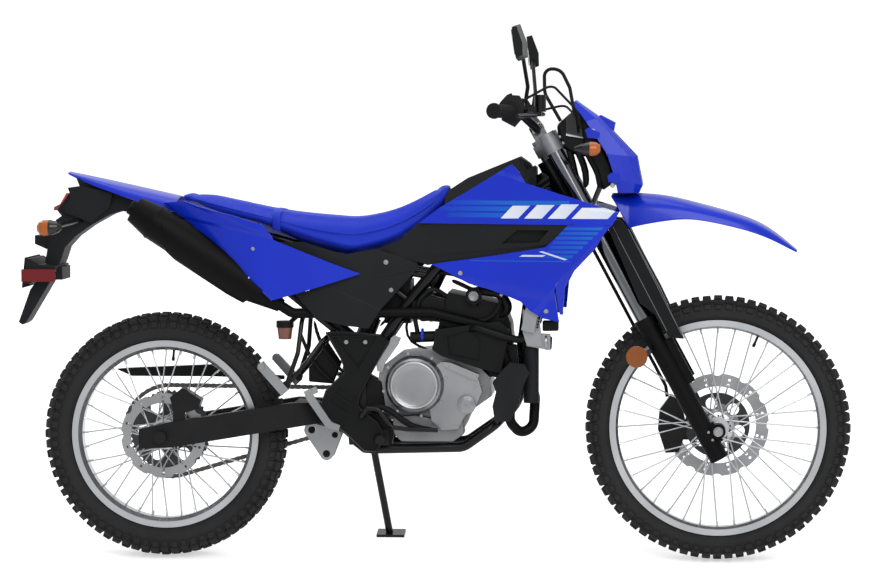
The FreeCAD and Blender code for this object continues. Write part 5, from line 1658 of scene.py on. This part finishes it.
@dataclass
class Nacelle:
    """Black housings and looms between the fork and the headlamp, and the feet of the fork."""

    housing: Outline = ((1071, 1156), (1094, 1136), (1133, 1066), (1158, 1012), (1163, 972),
                        (1134, 951), (1118, 1004), (1090, 1046))
    dash: Outline = ((1016, 1119), (1053, 1152), (1070, 1154), (1094, 1113), (1117, 1050),
                     (1094, 1037), (1055, 1045), (1022, 1066))
    looms: Sequence[Sequence[Point]] = (
        ((1062, -62, 1066), (1078, -64, 1032), (1091, -62, 998), (1090, -58, 955)),
        ((1088, -66, 1060), (1104, -68, 1026), (1124, -64, 994), (1126, -58, 953)),
        ((1040, -30, 1070), (1052, -48, 1040), (1060, -52, 1000), (1072, -50, 950)))
    foot_radius: float = 24.3
    # Ends (x, z) of the chrome lines that paint highlights along the black ridges of the fork
    # guards.
    guard_edges: Sequence[tuple[Point, Point]] = (
        ((1162, 861), (1299, 598)), ((1202, 854), (1337, 588)))

    def build(self) -> None:
        """Builds the housings, looms, fork feet, chrome lines painted as highlights on the fork
        guards, the axle bolt and the side reflectors.
        """
        for name, outline, half, edge in (("lamp_housing", self.housing, 64, 7.0),
                                          ("dash_housing", self.dash, 50, 8.0)):
            shape = Shape()
            shape.prism(outline, -half, half)
            rounded(shape.place(name, Finishes.satin_black, Body.STEERING), edge, 3)
        shape = Shape()
        for points in self.looms:
            for hand in (1, -1):
                shape.pipe([(x, hand * y, z) for x, y, z in points], 7.5, 12)
        subdivided(shape.place("lamp_looms", Finishes.rubber, Body.STEERING, 60.0))
        r, half = self.foot_radius, MACHINE.fork_half
        turned("fork_feet", Finishes.heat_black, [
            ([(0, r - 8), (0, r - 2), (2, r), (50, r), (50, r - 8)],
             MACHINE.fork(-66, 0, y), MACHINE.fork(0, 0, y), 40) for y in (-half, half)],
            Body.STEERING)
        # painted highlight: thin chrome lines stand in for the highlights along the black ridges of
        # the fork guards
        edges = Shape()
        for (ax, az), (bx, bz) in self.guard_edges:
            for y in (-130.4, 130.4):
                edges.pipe([(ax, y, az), (bx, y, bz)], 1.4, 8)
        edges.place("fork_guard_edges", Finishes.chrome, Body.STEERING)
        end = (MACHINE.wheelbase, -125.4, MACHINE.front_radius)
        turned("front_axle_bolt", Finishes.zinc, [
            ([(0, 0), (0, 12.0), (1.5, 12.4), (2.2, 12.0)], end, None, 36),
            ([(1, 0), (1, 9.8), (6.2, 9.8), (7, 8.6), (7, 5), (4.5, 4.6), (4.5, 0)], end, None, 6)],
            Body.STEERING)
        turned("side_reflectors", Finishes.amber, [
            ([(0, 0), (0, 26), (2, 27.5), (5.5, 27.5), (7, 26), (7, 0)], (1223, y, 532), None, 40)
            for y in (-137, 137)], Body.STEERING)


@dataclass
class Harness:
    """Hoses, housings and brackets that fill the space round the engine."""

    hoses: Sequence[tuple[float, Sequence[Point]]] = (
        (7.0, ((654, -66, 694), (666, -68, 718), (700, -70, 742), (750, -70, 745),
               (824, -72, 704))),
        (6.0, ((747, -84, 723), (777, -86, 711), (812, -90, 692), (867, -92, 687))),
        (6.5, ((802, -103, 621), (838, -105, 618), (866, -105, 640), (880, -104, 682))),
        (4.0, ((640, -70, 640), (628, -76, 600), (640, -80, 560), (690, -84, 545))),
        (4.5, ((560, -70, 600), (600, -72, 640), (640, -74, 668), (700, -74, 690))),
        (5.0, ((392, -60, 620), (405, -66, 560), (440, -70, 520), (470, -74, 480))),
        (5.0, ((350, -52, 600), (372, -58, 540), (400, -62, 490), (452, -66, 452))),
        (8.5, ((519, -127, 372), (540, -130, 396), (572, -131, 404), (608, -130, 384),
               (646, -130, 346), (713, -130, 342))))
    blocks: Sequence[tuple[float, float, Outline]] = (
        (-94, -56, ((528, 449), (531, 485), (570, 463), (580, 401), (558, 376), (515, 400))),
        (-100, -70, ((497, 364), (540, 384), (570, 377), (607, 353), (595, 296), (558, 276),
                     (522, 278), (491, 303))),
        (-52, -34, ((377, 493), (426, 561), (462, 506), (440, 452), (377, 457))),
        (-92, -50, ((648, 669), (691, 685), (733, 673), (733, 622), (672, 616), (642, 643))),
        (-90, -60, ((831, 565), (915, 558), (924, 487), (843, 474))),
        (-126, -98, ((983, 595), (1024, 596), (1024, 622), (983, 622))),
        (-116, -100, ((984, 556), (1006, 547), (1008, 580), (986, 586))))
    sump: Outline = ((598, 372), (657, 379), (711, 367), (778, 377), (783, 330), (754, 309),
                     (621, 309), (600, 330))

    def build(self) -> None:
        """Builds the hoses, blocks, sump, guard ribs, fluid cup and hose band."""
        shape = Shape()
        for radius, points in self.hoses:
            shape.pipe(points, radius, 12)
        subdivided(shape.place("engine_hoses", Finishes.rubber, Body.CHASSIS, 60.0))
        shape = Shape()
        for back, front, outline in self.blocks:
            shape.prism(outline, back, front)
        rounded(shape.place("engine_housings", Finishes.satin_black), 4.0, 3)
        shape = Shape()
        shape.prism(self.sump, -106, -50)
        rounded(shape.place("engine_sump", Finishes.cast), 4.0, 3)
        shape = Shape()
        for rim in ([(443, 581), (561, 582), (512, 497)],
                    [(430, 588), (467, 592), (568, 583), (588, 567), (516, 434), (510, 404),
                     (523, 387), (559, 361), (571, 343), (571, 308), (559, 286), (526, 286),
                     (484, 326), (435, 368), (417, 404), (429, 439), (478, 488), (472, 517)]):
            rows = [(x, -119.5, z) for x, z in rim]
            shape.pipe(rows + rows[:2], 2.6, 8)
        shape.place("guard_ribs", Finishes.frame_black)
        turned("brake_fluid_cup", Finishes.cup, [
            ([(0, 0), (0, 16.6), (29, 20.3), (29, 0)], (322, -104, 572), (322, -104, 601), 32)])
        turned("hose_band", Finishes.blue, [
            ([(0, 14), (0, 17.6), (6, 17.6), (6, 14)], (672, -95, 582), (678, -95, 582), 24)])


NODE_FINISHES: Sequence[tuple[Finish, str]] = (
    (Finishes.hub, "front_wheel rear_wheel"), (Finishes.front_disc, "front_disc"),
    (Finishes.steel, "rear_disc"), (Finishes.sprocket, "sprocket"), (Finishes.chrome, "fork_tubes"),
    (Finishes.heat_black, "fork_sliders header silencer"), (Finishes.blue, "cowl"),
    (Finishes.cast, "fork_clamps engine_case"), (Finishes.cover, "engine_covers"),
    (Finishes.lamp, "headlight"), (Finishes.front_signal, "front_signals"),
    (Finishes.frame_black, "handlebar front_caliper side_stand frame shock rear_caliper"),
    (Finishes.frame_black, "foot_controls"), (Finishes.swingarm, "swingarm"),
    (Finishes.satin_black, "fork_guards mirrors cylinder brackets"), (Finishes.rubber, "cables"),
    (Finishes.satin, "radiator alloy_brackets"), (Finishes.black, "canisters fuel_tank tail_unit"),
    (Finishes.red, "tail_light"), (Finishes.rear_signal, "rear_signals"))


def dress_nodes() -> None:
    """Gives every node of the frame that stays in view its finish."""
    for finish, names in NODE_FINISHES:
        for name in names.split():
            materials = frame["nodes"][name].data.materials
            materials.clear()
            materials.append(finish.build())
            LOG.info("%s finished as %s", name, finish.name)


class Studio:
    """Camera at the photograph's angle, pale floor and soft lamps."""

    camera_place = (1313.869, -8782.465, 1177.596)
    yaw = -0.069452
    pitch = -0.0550439
    roll = -0.000409
    focal_pixels = 3410.254
    width_pixels = 872.0

    def camera(self) -> None:
        """Places the camera, leaned as the machine is."""
        data = bpy.data.cameras.new("camera")
        data.sensor_width = 36.0
        data.lens = self.focal_pixels / self.width_pixels * 36.0
        data.clip_end = 100.0
        camera = linked("camera", data)
        ahead = Vector((math.sin(self.yaw) * math.cos(self.pitch),
                        math.cos(self.yaw) * math.cos(self.pitch), math.sin(self.pitch)))
        right = ahead.cross(Vector((0, 0, 1))).normalized()
        up = right.cross(ahead)
        right, up = (right * math.cos(self.roll) + up * math.sin(self.roll),
                     up * math.cos(self.roll) - right * math.sin(self.roll))
        turn = Matrix((right, up, -ahead)).transposed().to_4x4()
        lean = Matrix.Rotation(-MACHINE.lean, 4, "X")
        camera.matrix_world = Matrix.Translation(STANDING @ Vector(self.camera_place)) @ lean @ turn
        bpy.context.scene.camera = camera

    def floor(self) -> None:
        """Places the floor with a soft white surround."""
        mesh = bpy.data.meshes.new("floor")
        corners = [(-1, -1), (1, -1), (1, 1), (-1, 1)]
        mesh.from_pydata([(30.0 * x, 30.0 * y, 0) for x, y in corners], [], [(0, 1, 2, 3)])
        floor = linked("floor", mesh)
        material = bpy.data.materials.new("pale_floor")
        material.use_nodes = True
        t = NodeTree(material.node_tree)
        shader = material.node_tree.nodes["Principled BSDF"]
        shader.inputs["Base Color"].default_value = (0.86, 0.86, 0.87, 1.0)
        shader.inputs["Roughness"].default_value = 0.9
        glow = t.add("ShaderNodeEmission", {"Color": (1, 1, 1, 1), "Strength": 0.55})
        both = t.add("ShaderNodeAddShader", {0: shader.outputs[0], 1: glow.outputs[0]})
        mix = t.add("ShaderNodeMixShader", {0: t.seen(), 1: shader.outputs[0], 2: both.outputs[0]})
        t.put(material.node_tree.nodes["Material Output"].inputs["Surface"], mix.outputs[0])
        mesh.materials.append(material)

    def lamp(self, name: str, place: Point, size: float, watts: float) -> None:
        """Places a soft square lamp that faces the machine."""
        data = bpy.data.lights.new(name, "AREA")
        data.size = size
        data.energy = watts
        lamp = linked(name, data)
        lamp.location = place
        towards = Vector((0, 0, 0.6)) - Vector(place)
        lamp.rotation_euler = towards.to_track_quat("-Z", "Y").to_euler()

    def build(self) -> None:
        """Builds the whole studio."""
        self.camera()
        self.floor()
        world = bpy.data.worlds.new("studio")
        world.use_nodes = True
        bpy.context.scene.world = world
        t = NodeTree(world.node_tree)
        back = world.node_tree.nodes["Background"]
        back.inputs["Color"].default_value = (1.0, 1.0, 1.0, 1.0)
        t.put(back.inputs["Strength"], t.spread(t.seen(), 0.0, 1.0, 0.5, 1.0))
        self.lamp("key_lamp", (1.2, -3.6, 3.4), 2.6, 110.0)
        self.lamp("top_lamp", (-0.4, 0.6, 4.2), 3.0, 55.0)
        self.lamp("rear_lamp", (-3.2, 2.6, 2.4), 2.0, 50.0)
        bpy.context.scene.view_settings.view_transform = "Standard"


def main() -> None:
    """Builds the looks in order."""
    Studio().build()
    dress_nodes()
    Wheels().build()
    Chain().build()
    Panels().build()
    Seat().build()
    Fender("front_fender", Body.STEERING, [
        (1158, 945, 60, 8), (1160, 945, 60.4, 12), (1197, 947, 65.4, 84), (1201, 947, 66, 91),
        (1206, 947, 66.7, 89.4), (1236, 945, 72, 80), (1286, 942, 75, 68),
        (1340, 931, 78, 50), (1393, 917, 78, 40), (1491, 891, 74, 36), (1560, 862, 62, 30),
        (1631, 801, 30, 8)],
        ("front_fender",)).build()
    Fender("rear_fender", Body.CHASSIS, [
        (-251, 999, 30, 8), (-180, 985, 70, 22), (-120, 972, 92, 28), (-20, 950, 100, 40),
        (42, 936, 100, 44)], ("rear_fender",)).build()
    Screws().build()
    Controls().build()
    Nacelle().build()
    EngineDetails().build()
    Harness().build()


if __name__ == "__main__":
    main()
